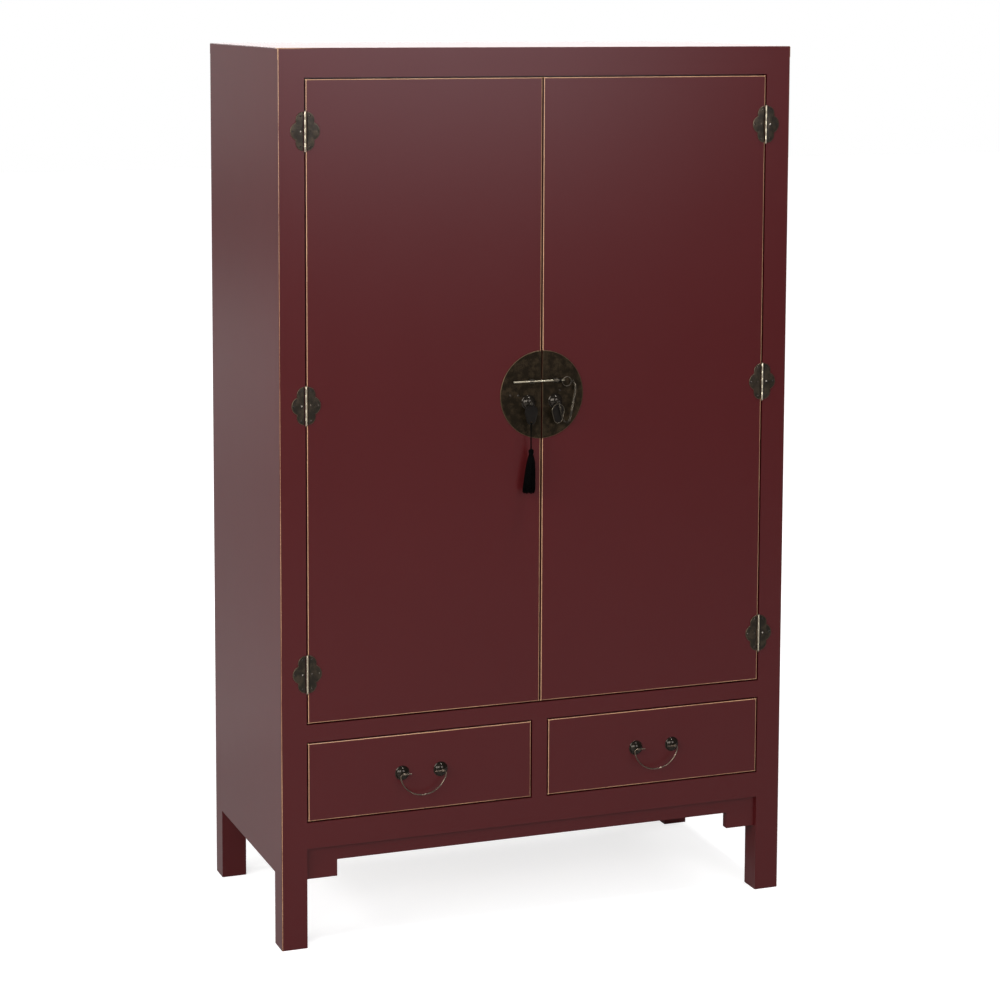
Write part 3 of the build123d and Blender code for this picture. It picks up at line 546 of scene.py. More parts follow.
# %% Grid helpers
def grid_quads(rows, columns, closed_rows, closed_columns):
    """Quads between neighbouring points of a grid; a closed direction joins its end to its start."""
    row = np.arange(rows if closed_rows else rows - 1)[:, None]
    column = np.arange(columns if closed_columns else columns - 1)[None, :]
    next_row, next_column = (row + 1) % rows, (column + 1) % columns
    corners = (row * columns + column, row * columns + next_column,
               next_row * columns + next_column, next_row * columns + column)
    return np.stack(np.broadcast_arrays(*corners), axis=-1).reshape(-1, 4)


def enclosed(points, triangles):
    """Signed volume: the sum of a . (b x c) / 6 over the triangles, about the middle point."""
    a, b, c = np.moveaxis((points - points.mean(0))[triangles], 1, 0)
    return float(np.einsum("ij,ij->", a, np.cross(b, c)) / 6)


def patch(grid, caps=True, closed_rows=False, finish=0, rim=0.0):
    """A closed surface from a grid (rows, columns, 3) that is closed round its columns. Caps are
    fans to the middle of the first and the last row. Faces point outwards. The rim values are one
    number, or fill the grid."""
    rows, columns, _ = grid.shape
    points = grid.reshape(-1, 3)
    rims = np.broadcast_to(rim, (rows, columns)).ravel()
    quads = grid_quads(rows, columns, closed_rows, True)
    fans = np.zeros((0, 3), int)
    if caps:
        here = np.arange(columns)
        after = (here + 1) % columns
        last_row = (rows - 1) * columns
        first, last = np.full(columns, rows * columns), np.full(columns, rows * columns + 1)
        fans = np.vstack([np.stack([after, here, first], 1),
                          np.stack([last_row + here, last_row + after, last], 1)])
        points = np.vstack([points, grid[0].mean(0), grid[-1].mean(0)])
        rims = np.append(rims, (rims[:columns].mean(), rims[-columns:].mean()))
    triangles = np.vstack([quads[:, :3], quads[:, [0, 2, 3]], fans])
    if enclosed(points, triangles) < 0:
        quads, fans = quads[:, ::-1], fans[:, ::-1]
    return {"points": points, "quads": quads, "fans": fans, "finish": finish, "rim": rims}


def join(name, patches, body, materials, replaces=(), sharp=40.0):
    """One piece from several patches, smooth but for edges sharper than sharp degrees."""
    points = np.vstack([p["points"] for p in patches])
    starts = np.cumsum([0] + [len(p["points"]) for p in patches[:-1]])
    faces, finishes = [], []
    for start, p in zip(starts, patches):
        own = (p["quads"] + start).tolist() + (p["fans"] + start).tolist()
        faces += own
        finishes += [p["finish"]] * len(own)
    mesh = bpy.data.meshes.new(name)
    mesh.from_pydata(points.tolist(), [], faces)
    for material in materials:
        mesh.materials.append(material)
    mesh.polygons.foreach_set("material_index", finishes)
    rim = mesh.attributes.new("rim", "FLOAT", "POINT")
    rim.data.foreach_set("value", np.concatenate([p["rim"] for p in patches]).astype(np.float32))
    mesh.shade_smooth()
    mesh.set_sharp_from_angle(angle=math.radians(sharp))
    piece = add_object(name, mesh)
    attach(piece, body)
    if replaces:
        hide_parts(*replaces)
    print(f"{name}: {len(faces)} faces on {body}")
    return piece


def turned(profile, middle, axis, sides=56):
    """A lathe: each profile point (radius, distance along the axis) becomes a ring round middle."""
    radius, along = np.asarray(profile, float).T
    angle = np.linspace(0, 2 * np.pi, sides, endpoint=False)
    round_a = radius[:, None] * np.cos(angle)
    round_b = radius[:, None] * np.sin(angle)
    straight = np.broadcast_to(along[:, None], round_a.shape)
    order = {"x": (straight, round_a, round_b), "y": (round_a, straight, round_b),
             "z": (round_a, round_b, straight)}[axis]
    return np.stack(order, -1) + np.asarray(middle, float)


print("grid helpers ready")

# %% [markdown]
# ## Plates with soft rims
# The lock plate and the hinge leaves are cut from sheet and filed round at the edge. Their
# outline is a closed line, and the same few steps turn any outline into a plate: rings that start
# at the back, climb the edge as a quarter round, and shrink to the middle over a faint crown.

# %% Plate from an outline
RIM_STEPS = np.linspace(0, np.pi / 2, 5)
INNER_SHARES = np.array([0.97, 0.93, 0.86, 0.75, 0.6, 0.45, 0.3, 0.15, 0.06])
RIM_FADE = 0.9 * MM
# Width of the painted shade beside each hinge pin.
PAINTED_SHADE_W = 2.4 * MM


def plate(outline, middle, face, thick, rounding, crown=0.0, shade_x=None):
    """Rings of an outline (x, z) round a middle. Ring points move in by rounding * (1 - cos t)
    while the height is thick - rounding * (1 - sin t), then they shrink by shares to the middle.
    The face looks to the front, so the height goes towards -Y from face. Shade is painted along the
    upright line at the x given for it: there the rim value goes down to -1."""
    outline = np.asarray(outline, float)
    ray = outline - middle
    length = np.linalg.norm(ray, axis=1, keepdims=True)
    moves = np.concatenate([[0.0, 0.0], rounding * (1 - np.cos(RIM_STEPS)), [rounding + RIM_FADE]])
    heights = np.concatenate([[0.0, 0.0], thick - rounding * (1 - np.sin(RIM_STEPS)), [thick]])
    moves[0] = rounding
    rings = [middle + ray * (1 - move / length) for move in moves]
    rim = np.concatenate([[1.0], np.ones(1 + len(RIM_STEPS)), [0.0]])
    flat = rings[-1] - middle
    rings += [middle + flat * share for share in INNER_SHARES]
    heights = np.concatenate([heights, thick + crown * (1 - INNER_SHARES ** 2)])
    rim = np.concatenate([rim, np.zeros(len(INNER_SHARES))])
    flat_rings = np.stack(rings)
    depth = face - np.broadcast_to(heights[:, None], flat_rings.shape[:2])
    grid = np.stack([flat_rings[..., 0], depth, flat_rings[..., 1]], -1)
    rim = np.broadcast_to(rim[:, None], depth.shape)
    # Painted shade along the cut beside the hinge pin: the rim value goes below 0 there.
    if shade_x is not None:
        far = np.abs(flat_rings[..., 0] - shade_x) / PAINTED_SHADE_W
        rim = np.where(far < 1, far - 1, rim)
    return patch(grid, rim=rim)


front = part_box("left_door_panel")[0].y
plate_low, plate_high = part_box("right_lock_plate")
PLATE_R = (plate_high.z - plate_low.z) / 2
PLATE_T = plate_high.y - plate_low.y
plate_z = (plate_high.z + plate_low.z) / 2


def half_disc(side, cut, radius, points=150):
    """The cut edge is straight at x = cut. The arc is cut and radius turned to one outline: angles
    from -a to a with a = acos(cut / radius), closed by points along the cut."""
    spread = math.acos(cut / radius)
    arc = np.linspace(-spread, spread, points)
    round_part = np.stack([radius * np.cos(arc), radius * np.sin(arc)], 1)
    straight = np.linspace(round_part[-1, 1], round_part[0, 1], points // 2 + 2)[1:-1]
    cut_part = np.stack([np.full(len(straight), cut), straight], 1)
    outline = np.vstack([round_part, cut_part])
    return outline * (side, 1) + (0, plate_z)


for side, name in ((-1, "left"), (1, "right")):
    outline = half_disc(side, plate_low.x, PLATE_R)
    middle = np.array([side * 0.42 * PLATE_R, plate_z])
    half = plate(outline, middle, front, PLATE_T, 0.7 * MM)
    join(name + "_plate_half", [half], name + "_door", [plate_bronze],
         [name + "_lock_plate"])

# %% [markdown]
# ## Hinge leaves
# A leaf is a small cloud: a wide lobe at the side, one above and one below. Its outline is the
# far side of the union of three circles, seen from one middle, so a ray from that middle meets it
# once. The knuckles round the pin are short rolled barrels of brighter brass.

# %% Hinge leaves and knuckles
HINGE_H = 67.5 * MM
LEAF_T = 1.5 * MM
LEAF_W = 26.5 * MM
LEAF_CLEAR = 3.0 * MM
SIDE_LOBE_R, LOBE_R, LOBE_X = 16.7 * MM, 14.0 * MM, 2.8 * MM
KNUCKLES, KNUCKLE_GAP, BARREL_R = 5, 0.3 * MM, 1.7 * MM
BARREL_SOFT = 0.35 * MM
PIN_HEAD_R, PIN_HEAD_T = 2.0 * MM, 1.2 * MM

pin_low, pin_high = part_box("hinge_pins")
hinge_x = pin_high.x - PIN_HEAD_R
hinge_y = (pin_low.y + pin_high.y) / 2
hinge_end = HINGE_H / 2 + PIN_HEAD_T
hinge_zs = (pin_low.z + hinge_end, (pin_low.z + pin_high.z) / 2, pin_high.z - hinge_end)


def far_side(middle, angles):
    """Along each ray: the furthest crossing with a circle, (d . c) + sqrt(r2 - |c x d|2). The
    outline is the largest of the three, cut straight beside the pin."""
    way = np.stack([np.cos(angles), np.sin(angles)], 1)
    lobe_z = HINGE_H / 2 - LOBE_R
    circles = ((LEAF_W - SIDE_LOBE_R, 0.0, SIDE_LOBE_R),
               (LOBE_X, lobe_z, LOBE_R), (LOBE_X, -lobe_z, LOBE_R))
    reach = np.zeros(len(angles))
    for x, z, radius in circles:
        centre = np.array([x, z]) - middle
        along = way @ centre
        aside = way[:, 0] * centre[1] - way[:, 1] * centre[0]
        inside = radius ** 2 - aside ** 2
        hit = np.where(inside > 0, along + np.sqrt(np.maximum(inside, 0)), 0)
        reach = np.maximum(reach, hit)
    cut = (middle[0] - LEAF_CLEAR) / np.maximum(-way[:, 0], 1e-9)
    return middle + way * np.minimum(reach, cut)[:, None]


LEAF_MIDDLE = np.array([8.0 * MM, 0.0])
leaf_outline = far_side(LEAF_MIDDLE, np.linspace(-np.pi, np.pi, 240, endpoint=False))


def knuckle(z):
    """A barrel with rounded ends. The lower half of its profile, (radius, distance from the end),
    is turned over for the upper half."""
    length = HINGE_H / KNUCKLES - KNUCKLE_GAP
    steps_in = np.array([3.0, 1.0, 0.3, 0.0]) * BARREL_SOFT
    steps_up = np.array([0.0, 0.0, 0.3, 1.0]) * BARREL_SOFT
    radius = BARREL_R - np.concatenate([steps_in, steps_in[::-1]])
    along = np.concatenate([steps_up, length - steps_up[::-1]])
    return turned(np.stack([radius, along], 1), (0, hinge_y, z - length / 2), "z", sides=28)


def leaves(side, leaf_way, own_knuckles):
    """Three leaves on one side of the pins, with their knuckles."""
    found = []
    for z in hinge_zs:
        pin = np.array([side * hinge_x, z])
        outline = leaf_outline * (leaf_way, 1) + pin
        middle = LEAF_MIDDLE * (leaf_way, 1) + pin
        cut_x = pin[0] + leaf_way * LEAF_CLEAR
        # Each leaf gets painted shade along its cut beside the pin.
        found.append(plate(outline, middle, front, LEAF_T, 0.7 * MM, crown=0.35 * MM, shade_x=cut_x))
        for k in own_knuckles:
            barrel = knuckle(z + (k - (KNUCKLES - 1) / 2) * HINGE_H / KNUCKLES)
            found.append(patch(barrel + (side * hinge_x, 0, 0), finish=1))
    return found


for side, name in ((-1, "left"), (1, "right")):
    join(name + "_post_leaves", leaves(side, side, (0, 2, 4)), "carcass", [leaf_bronze, barrel_brass],
         [name + "_hinge_frame_leaves"])
    join(name + "_door_leaves", leaves(side, -side, (1, 3)), name + "_door", [leaf_bronze, barrel_brass],
         [name + "_hinge_door_leaves"])

# %% [markdown]
# ## Domed bosses
# Behind each split pin sits a domed washer. It is spun from sheet, so it has a thin flat lip, then
# the dome, and a small sunk ring where the pin goes in. One profile turned on a lathe makes it.

# %% Bosses
BOSS_R, BOSS_H = 13.5 * MM, 9.5 * MM
LIP_W, LIP_T = 1.1 * MM, 0.9 * MM
LIP_STEPS, DOME_STEPS = 6, 18
NECK_R = 2.1 * MM


def boss(middle):
    """The lip is a half round. The dome is a quarter ellipse from the lip to the neck:
    radius = r cos t and height = h sin t."""
    lip = np.linspace(-np.pi / 2, np.pi / 2, LIP_STEPS)
    lip_r = LIP_T / 2
    lip_profile = np.stack([BOSS_R - lip_r + lip_r * np.cos(lip), lip_r + lip_r * np.sin(lip)], 1)
    wide = BOSS_R - LIP_W
    t = np.linspace(0.06, math.acos(NECK_R / wide), DOME_STEPS)
    dome = np.stack([wide * np.cos(t), LIP_T + (BOSS_H - LIP_T) * np.sin(t)], 1)
    neck = np.array([(NECK_R - 0.25 * MM, BOSS_H - 0.35 * MM), (NECK_R - 0.6 * MM, BOSS_H - 0.8 * MM)])
    profile = np.vstack([lip_profile, dome, neck]) * (1, -1)
    rim = np.concatenate([np.ones(LIP_STEPS), np.zeros(DOME_STEPS), np.ones(2)])
    return patch(turned(profile, middle, "y"), rim=rim[:, None])


for side, name in ((-1, "left"), (1, "right")):
    low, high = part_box(name + "_pendant_boss")
    middle = ((low.x + high.x) / 2, high.y, (low.z + high.z) / 2)
    join(name + "_dome", [boss(middle)], name + "_door", [boss_bronze],
         [name + "_pendant_boss"])
    low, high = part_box(name + "_drawer_bosses")
    middle_z = (low.z + high.z) / 2
    pair = [boss((x, high.y, middle_z)) for x in (low.x + BOSS_R, high.x - BOSS_R)]
    join(name + "_handle_domes", pair, name + "_drawer", [boss_bronze],
         [name + "_drawer_bosses"])

# %% [markdown]
# ## Pendant beads
# The two pendants are cut from sheet and edged with a raised bead. The flat plates come from the
# solids, and the bead is a thin tube that follows their outline: the hull of three circles. The
# left bead is as dark as its plate, and the right one is given bright metal as a painted highlight.

# %% Beads round the pendants
BEAD_R = 0.65 * MM
HULL_STEPS = 160


def hull_outline(circles, inset):
    """Support points of circles: for a direction n, the point c + r n with the largest c . n + r."""
    angle = np.linspace(0, 2 * np.pi, 4 * HULL_STEPS, endpoint=False)
    way = np.stack([np.cos(angle), np.sin(angle)], 1)
    centres = np.array([(x, z) for x, z, _ in circles])
    radii = np.array([r - inset for _, _, r in circles])
    best = np.argmax(way @ centres.T + radii, axis=1)
    points = centres[best] + radii[best, None] * way
    closed = np.vstack([points, points[:1]])
    walked = np.concatenate([[0], np.cumsum(np.linalg.norm(np.diff(closed, axis=0), axis=1))])
    even = np.linspace(0, walked[-1], HULL_STEPS, endpoint=False)
    return np.stack([np.interp(even, walked, closed[:, k]) for k in (0, 1)], 1)


def flat_tube(path, y, radius, sides=10):
    """A closed tube along a line in the XZ plane: each ring lies across the line's direction."""
    ahead = np.roll(path, -1, axis=0) - np.roll(path, 1, axis=0)
    ahead /= np.linalg.norm(ahead, axis=1, keepdims=True)
    out = np.stack([ahead[:, 1], -ahead[:, 0]], 1)
    angle = np.linspace(0, 2 * np.pi, sides, endpoint=False)
    ring_out, ring_y = radius * np.cos(angle), radius * np.sin(angle)
    x = path[:, :1] + out[:, :1] * ring_out
    z = path[:, 1:] + out[:, 1:] * ring_out
    return np.stack([x, np.broadcast_to(y + ring_y, x.shape), z], -1)


PENDANT_R, PENDANT_TIP_R, PENDANT_BELLY, PENDANT_TOP_R = 12.5 * MM, 8.5 * MM, 23.5 * MM, 3.1 * MM
# The right bead's bright metal paints the highlight on its rim; the left bead stays dark.
for name, bead_finish, bead_highlight in (("left", drop_bronze, 0.0), ("right", highlight_bead_bronze, 1.0)):
    low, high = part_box(name + "_pendant")
    x = (low.x + high.x) / 2
    circles = ((x, high.z - PENDANT_TOP_R, PENDANT_TOP_R), (x, low.z + PENDANT_BELLY, PENDANT_R),
               (x, low.z + PENDANT_TIP_R, PENDANT_TIP_R))
    bead = patch(flat_tube(hull_outline(circles, BEAD_R), low.y, BEAD_R), caps=False, closed_rows=True,
                 rim=bead_highlight)
    join(name + "_pendant_bead", [bead], name + "_pendant", [bead_finish])

# %% [markdown]
# ## Ridged staples
# The sliding pin runs through two staples, and each is wound with four thin ridges. The right one
# is closed round the pin. The left one is a fork that is open at the front, so its ridges leave
# the same gap. A ridge is a tube whose rings walk round the pin. The grip at the pin's right end
# is the same pattern, smaller and dark.

# %% Ridges on the staples and the grip
STAPLE_R, STAPLE_W = 4.2 * MM, 8.0 * MM
RIDGE_R, RIDGES = 0.7 * MM, 4
FORK_GAP = math.radians(36)
STAPLE_XS = {"left": -21.0 * MM, "right": 25.0 * MM}
GRIP_R, GRIP_RIDGE_R = 1.9 * MM, 0.9 * MM
GRIP_XS = np.array([31.4, 33.0, 34.6, 36.2]) * MM


def ridge(middle, gap, ring_r=STAPLE_R, tube_r=RIDGE_R, rows=40, sides=8):
    """Ring row k lies at angle t round the pin, from gap to 2 pi - gap, where 0 is the front:
    (y, z) = (-(R + r cos s) cos t, (R + r cos s) sin t) and x = r sin s."""
    closed = gap == 0
    t = np.linspace(gap, 2 * np.pi - gap, rows, endpoint=not closed)[:, None]
    s = np.linspace(0, 2 * np.pi, sides, endpoint=False)[None, :]
    out = ring_r + tube_r * np.cos(s)
    x = np.broadcast_to(tube_r * np.sin(s), (rows, sides))
    grid = np.stack([x, -out * np.cos(t), out * np.sin(t)], -1) + np.asarray(middle)
    return patch(grid, caps=not closed, closed_rows=closed, rim=np.clip(np.cos(s), 0, 1))


pin_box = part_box("lock_pin")
pin_y, pin_z = (pin_box[0].y + pin_box[1].y) / 2, (pin_box[0].z + pin_box[1].z) / 2
for name, gap in (("left", FORK_GAP), ("right", 0)):
    steps = (np.arange(RIDGES) - (RIDGES - 1) / 2) * STAPLE_W / RIDGES
    ridges = [ridge((STAPLE_XS[name] + step, pin_y, pin_z), gap) for step in steps]
    join(name + "_staple_ridges", ridges, name + "_door", [staple_bronze])
grip = [ridge((x, pin_y, pin_z), 0, GRIP_R, GRIP_RIDGE_R) for x in GRIP_XS]
join("pin_grip", grip, "lock_pin", [drop_bronze])

# %% [markdown]
# ## The chain
# The chain runs from the ring on the sliding pin to the eye of the right boss. Its links keep the
# shape of the solids, but their wire is a little fuller. The links are shared between two pieces,
# upper and lower, that meet where the chain belongs to the door. The split between them runs square
# to the line from the eye to the lowest link.

# %% Two strands of the chain
FULLER = 0.18 * MM
BLEND_WAY = Vector((0.941, 0.0, 0.336))
AT_DOOR, AT_RING = 20.2 * MM, 36.0 * MM
pendant_low, pendant_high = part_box("right_pendant")
eye = (pendant_low + pendant_high) / 2
eye.z = pendant_high.z - PENDANT_TOP_R


def link_numbers(mesh):
    """Each point's link: the lowest point number it is joined to. The lowest number is passed
    along the edges until nothing changes."""
    ends = np.zeros(2 * len(mesh.edges), np.int32)
    mesh.edges.foreach_get("vertices", ends)
    a, b = ends.reshape(-1, 2).T
    number = np.arange(len(mesh.vertices))
    before = None
    while before is None or (number != before).any():
        before = number.copy()
        lowest = np.minimum(number[a], number[b])
        np.minimum.at(number, a, lowest)
        np.minimum.at(number, b, lowest)
        number = number[number]
    return number


def strand(name, upper):
    """The links above or below the meeting place, merged and moved out along their normals."""
    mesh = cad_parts["lock_chain"].data.copy()
    mesh.name = name
    work = bmesh.new()
    work.from_mesh(mesh)
    bmesh.ops.remove_doubles(work, verts=work.verts, dist=0.002 * MM)
    work.to_mesh(mesh)
    places, normals = np.zeros((2, 3 * len(mesh.vertices)), np.float32)
    mesh.vertices.foreach_get("co", places)
    mesh.vertices.foreach_get("normal", normals)
    mesh.vertices.foreach_set("co", places + FULLER * normals)
    along = (places.reshape(-1, 3) - np.array(eye)) @ np.array(BLEND_WAY)
    number = link_numbers(mesh)
    middle = np.bincount(number, along)[number] / np.bincount(number)[number]
    work.clear()
    work.from_mesh(mesh)
    work.verts.ensure_lookup_table()
    dropped = np.flatnonzero((middle > AT_DOOR) != upper)
    bmesh.ops.delete(work, geom=[work.verts[k] for k in dropped], context="VERTS")
    work.to_mesh(mesh)
    work.free()
    piece = add_object(name, mesh)
    mesh.materials.clear()
    mesh.materials.append(chain_brass)
    print(f"{name}: {len(mesh.polygons)} faces")
    return piece


upper_links, lower_links = strand("upper_links", True), strand("lower_links", False)
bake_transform(upper_links)
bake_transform(lower_links)
for piece in (upper_links, lower_links):
    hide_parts("lock_chain")

# %% [markdown]
# ## The tassel
# A tassel is a bundle of threads, tied over a wooden bead and wound at the neck. The head is
# turned on a lathe with a ridge for each winding. The skirt is a core with some two hundred
# separate threads round it, spread evenly by the golden angle. Each thread follows the flare of
# the skirt, leans a little and ends at its own length. The whole skirt hangs a little to the left.

# %% Head of the tassel
head_low, head_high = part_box("tassel_head")
skirt_low, skirt_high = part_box("tassel_skirt")
tassel_x = (head_low.x + head_high.x) / 2
tassel_y = (head_low.y + head_high.y) / 2
HEAD_R = (head_high.x - head_low.x) / 2
HEAD_H = head_high.z - head_low.z
WINDINGS = 13


def head_profile():
    """Radius = R sqrt(1 - |2h - 1|^5) with ridges |sin|; the neck, a fifth up, is drawn in."""
    share = np.linspace(0.02, 0.98, 16 * WINDINGS)
    barrel = HEAD_R * (1 - np.abs(2 * share - 1) ** 5) ** 0.5
    neck = 1 - 0.16 * np.exp(-((share - 0.2) / 0.09) ** 2)
    ridge = 1 - 0.05 * (1 - np.abs(np.sin(np.pi * WINDINGS * share)))
    return np.stack([barrel * neck * ridge, share * HEAD_H], 1)


head = patch(turned(head_profile(), (tassel_x, tassel_y, head_low.z), "z", sides=40))
tassel_head = join("tassel_knot", [head], "tassel", [wound_silk], ["tassel_head"], sharp=80)

# %% Threads of the skirt
FLARE = np.array([(4.2, 0.0), (7.6, 0.16), (9.8, 0.42), (11.7, 0.8), (12.2, 0.94), (11.6, 1.0)])
THREADS = 230
THREAD_R = 0.5 * MM
THREAD_ROWS, THREAD_SIDES = 11, 4
SKIRT_LEAN = 4.5 * MM
rng = np.random.default_rng(7)


def leaning(share):
    """How far the skirt has moved to the left at a share of its height down."""
    return -SKIRT_LEAN * share ** 1.4


def thread_paths():
    """Thread k starts at angle k * 137.5 degrees. At share s down, its radius is the flare's at s
    times its own ring share, and its angle drifts by a little twist and a slow wave."""
    k = np.arange(THREADS)
    ring = np.sqrt((k + 0.5) / THREADS) * 0.62 + 0.34
    start = k * np.pi * (3 - math.sqrt(5))
    s = np.linspace(0, 1, THREAD_ROWS)[None, :]
    flare = np.interp(s, FLARE[:, 1], FLARE[:, 0]) * MM
    lean = rng.normal(0, 0.10, (THREADS, 1))
    wave = rng.normal(0, 0.035, (THREADS, 1)) * np.sin(2 * np.pi * (s * 1.3 + rng.random((THREADS, 1))))
    angle = start[:, None] + lean * s + wave * s
    radius = (flare - THREAD_R) * ring[:, None] * (1 + 0.02 * np.sin(9 * s + start[:, None]) * s)
    radius = np.minimum(radius, flare - THREAD_R)
    length = (skirt_high.z - skirt_low.z) * rng.uniform(0.93, 1.0, (THREADS, 1))
    height = skirt_high.z + 1.0 * MM - (length + 1.0 * MM) * s
    x = tassel_x + leaning(s) + radius * np.cos(angle)
    return np.stack([x, tassel_y + radius * np.sin(angle), height], -1)


angle = np.linspace(0, 2 * np.pi, THREAD_SIDES, endpoint=False)
section = THREAD_R * np.stack([np.cos(angle), np.sin(angle), np.zeros(THREAD_SIDES)], -1)
threads = [patch(path[:, None, :] + section[None, :, :]) for path in thread_paths()]
core_profile = [(r * 0.55 * MM, -share * (skirt_high.z - skirt_low.z) * 0.93) for r, share in FLARE]
core_grid = turned(core_profile, (tassel_x, tassel_y, skirt_high.z), "z", sides=24)
core_grid[..., 0] += leaning(FLARE[:, 1])[:, None]
core = patch(core_grid)
join("tassel_threads", [core] + threads, "tassel", [thread_silk], ["tassel_skirt"],
     sharp=180)

# %% [markdown]
# ## Finishes for the solids that stay
# Boards, drawers, wire and nails already have their real shape, so they only get their finish.
# On each leaf of the posts the nail beside the pin is pale, with no film on it.

# %% Dress the solids
NAIL_FROM_PIN = 8.5 * MM


def beside_pin(tree):
    """1 within 4 mm of the points beside the middle of each pin, 0 further than 6 mm from them."""
    x, _, z = split(tree, own_place(tree))
    out = calc(tree, "SUBTRACT", calc(tree, "ABSOLUTE", x), hinge_x + NAIL_FROM_PIN)
    out = calc(tree, "ABSOLUTE", out)
    offs = [calc(tree, "ABSOLUTE", calc(tree, "SUBTRACT", z, hinge_z)) for hinge_z in hinge_zs]
    up = calc(tree, "MINIMUM", calc(tree, "MINIMUM", offs[0], offs[1]), offs[2])
    return ease(tree, calc(tree, "MAXIMUM", out, up), 4 * MM, 6 * MM, 1.0, 0.0)


PALE = 4.0                   # more than 1, so no film is left on the pale nail
post_nail = metal("post_nail", (0.018, 0.014, 0.012), (0.55, 0.50, 0.44), PALE, where=beside_pin)
LACQUERED = ("left_front_leg", "right_front_leg", "left_back_leg", "right_back_leg", "left_side_panel",
             "right_side_panel", "top_board", "top_rail", "middle_rail", "bottom_rail", "back_rails",
             "drawer_divider", "front_apron", "door_stops")
FINISHES = {node: carcass_lacquer for node in LACQUERED}
FINISHES.update(panel_lacquer)
FINISHES.update({"back_panel": wood_upright, "wardrobe_floor": wood_across, "shelves": wood_across,
                 "shelf_battens": wood_deep, "drawer_runners": wood_deep, "hinge_pins": bright_brass,
                 "hinge_frame_nails": post_nail, "lock_pin": bright_brass, "lock_ring": chain_brass})
for name in ("left", "right"):
    FINISHES.update({name + "_door_battens": wood_across, name + "_door_nails": nail_iron,
                     name + "_door_split_pins": staple_bronze, name + "_pendant": drop_bronze,
                     name + "_drawer_sides": wood_deep, name + "_drawer_back": wood_across,
                     name + "_drawer_bottom": wood_deep, name + "_drawer_split_pins": wire_brass,
                     name + "_drawer_bail": wire_brass})
for node, finish in FINISHES.items():
    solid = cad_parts[node]
    solid.data.materials.clear()
    solid.data.materials.append(finish)
print(len(FINISHES), "solids dressed")

# %% [markdown]
# ## Studio
# A furniture studio has a plain pale floor and several soft lamps. The brightest two here stand in
# front and to the left, so that the left side is the pale one. Smaller lamps light the right side
# and the top, a window-like one gives the right door its sheen, and one lights the far floor. The
# camera sees white behind the cabinet. Shiny surfaces see that white backdrop too, brightest where
# it is lit straight behind the cabinet, and a dimmer room in front of it.

# %% Floor
FLOOR_SIZE = 40.0
floor_mesh = bpy.data.meshes.new("floor")
half_floor = FLOOR_SIZE / 2
floor_mesh.from_pydata([(-half_floor, -half_floor, 0), (half_floor, -half_floor, 0),
                        (half_floor, half_floor, 0), (-half_floor, half_floor, 0)], [], [(0, 1, 2, 3)])
floor = add_object("floor", floor_mesh)
floor_paint, tree, shader = new_material("floor_paint")
shader.inputs["Base Color"].default_value = (0.55, 0.55, 0.55, 1.0)
shader.inputs["Roughness"].default_value = 0.9
shader.inputs["Specular IOR Level"].default_value = 0.1
shader.inputs["Emission Color"].default_value = (1.0, 1.0, 1.0, 1.0)
rays = tree.nodes.new("ShaderNodeLightPath")
away = vector_calc(tree, "LENGTH", own_place(tree), (0.0, 0.0, 0.0)).node.outputs["Value"]
glow = ease(tree, away, 0.8, 2.6, 0.7, 1.0)
seen_glow = calc(tree, "MULTIPLY", rays.outputs["Is Camera Ray"], glow)
tree.links.new(seen_glow, shader.inputs["Emission Strength"])
floor.data.materials.append(floor_paint)
print("floor of", FLOOR_SIZE, "m")

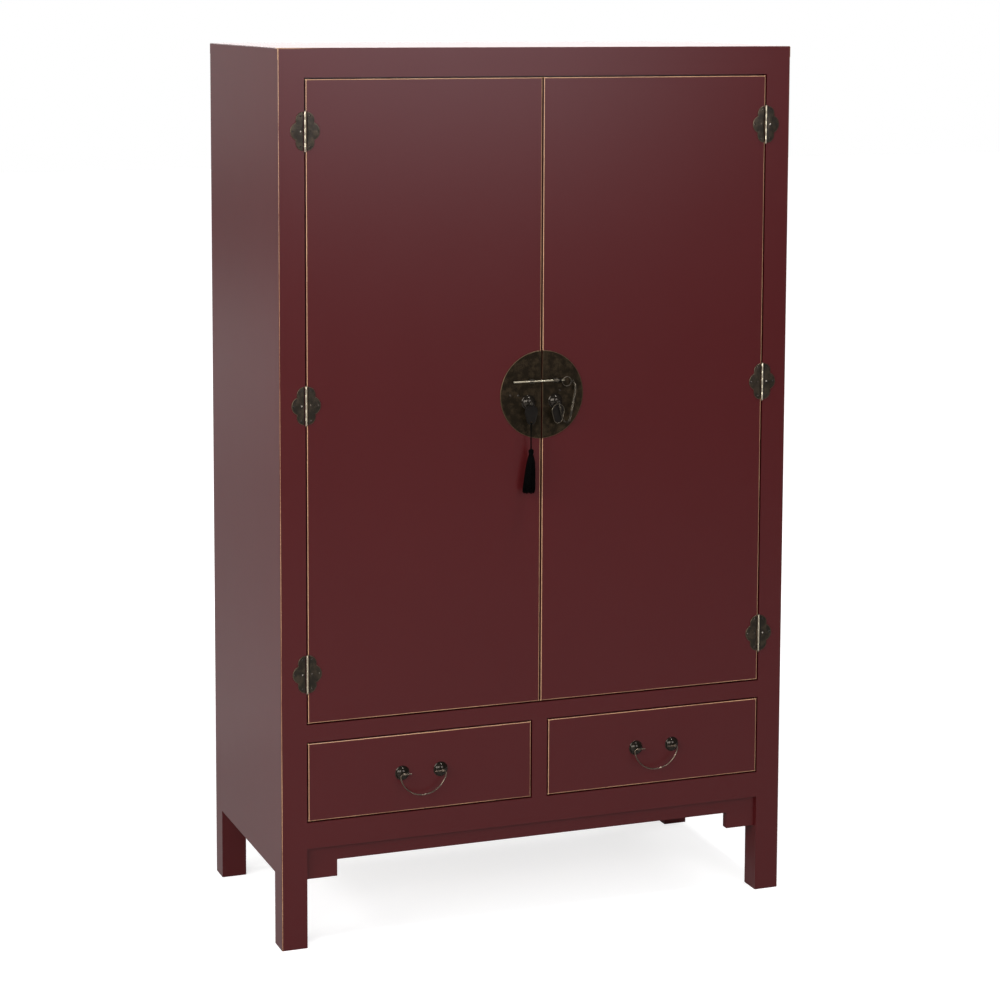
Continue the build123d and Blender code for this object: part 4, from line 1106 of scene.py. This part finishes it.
# %% Room light
world = bpy.data.worlds.new("studio")
bpy.context.scene.world = world
world.use_nodes = True
tree = world.node_tree
ROOM = (0.15, 0.15, 0.15, 1.0)
DIM_ROOM = (0.07, 0.07, 0.07, 1.0)
LOW_LEFT = (0.50, 0.50, 0.50, 1.0)
WHITE = (1.0, 1.0, 1.0, 1.0)
GLARE = (2.7, 2.5, 2.5, 1.0)
GLARE_WAY = (0.36, 0.93, 0.05)
rays = tree.nodes.new("ShaderNodeLightPath")
direction = tree.nodes.new("ShaderNodeTexCoord").outputs["Generated"]
x, y, z = split(tree, direction)
low_sweep = mix(tree, ease(tree, x, -0.15, 0.2), LOW_LEFT, WHITE)
sweep = mix(tree, ease(tree, z, 0.0, 0.12), low_sweep, WHITE)
backdrop = mix(tree, ease(tree, y, -0.2, 0.5), DIM_ROOM, sweep)
facing = vector_calc(tree, "DOT_PRODUCT", direction, GLARE_WAY).node.outputs["Value"]
backdrop = mix(tree, ease(tree, facing, 0.93, 0.98), backdrop, GLARE)
light = mix(tree, rays.outputs["Is Glossy Ray"], ROOM, backdrop)
seen_white = calc(tree, "MAXIMUM", rays.outputs["Is Camera Ray"], rays.outputs["Is Transmission Ray"])
tree.links.new(mix(tree, seen_white, light, WHITE), tree.nodes["Background"].inputs["Color"])

# %% Lamps
def soft_lamp(name, place, aim, width, height, power):
    """A rectangular lamp at place that faces aim. Its power is in watts."""
    lamp = bpy.data.lights.new(name, "AREA")
    lamp.shape = "RECTANGLE"
    lamp.size, lamp.size_y = width, height
    lamp.energy = power
    holder = add_object(name, lamp)
    holder.location = place
    holder.rotation_euler = (Vector(aim) - Vector(place)).to_track_quat("-Z", "Y").to_euler()
    return holder


MIDDLE = (0.0, 0.0, 0.8)
window = soft_lamp("window", (1.2, -4.6, 2.3), (1.2, 0.0, 2.3), 2.0, 2.1, 72.0)
window.data.color = (0.97, 0.94, 1.0)
soft_lamp("key", (-2.8, -4.0, 2.6), MIDDLE, 2.6, 2.6, 135.0)
soft_lamp("left_wall", (-4.3, 0.9, 2.6), MIDDLE, 0.6, 0.6, 35.0)
soft_lamp("left_front", (-4.5, -1.6, 2.2), MIDDLE, 2.4, 2.4, 140.0)
soft_lamp("overhead", (0.7, -1.1, 4.2), MIDDLE, 0.6, 0.5, 50.0)
soft_lamp("right_wall", (3.6, 0.9, 3.2), MIDDLE, 1.6, 1.6, 40.0)
soft_lamp("ceiling", (0.0, -0.6, 4.6), MIDDLE, 4.0, 3.0, 10.0)
soft_lamp("backdrop", (-3.0, 7.5, 4.5), (-3.5, 8.0, 0.0), 3.0, 3.0, 190.0)
bpy.context.scene.view_settings.view_transform = "Standard"
print("eight lamps and a room light")
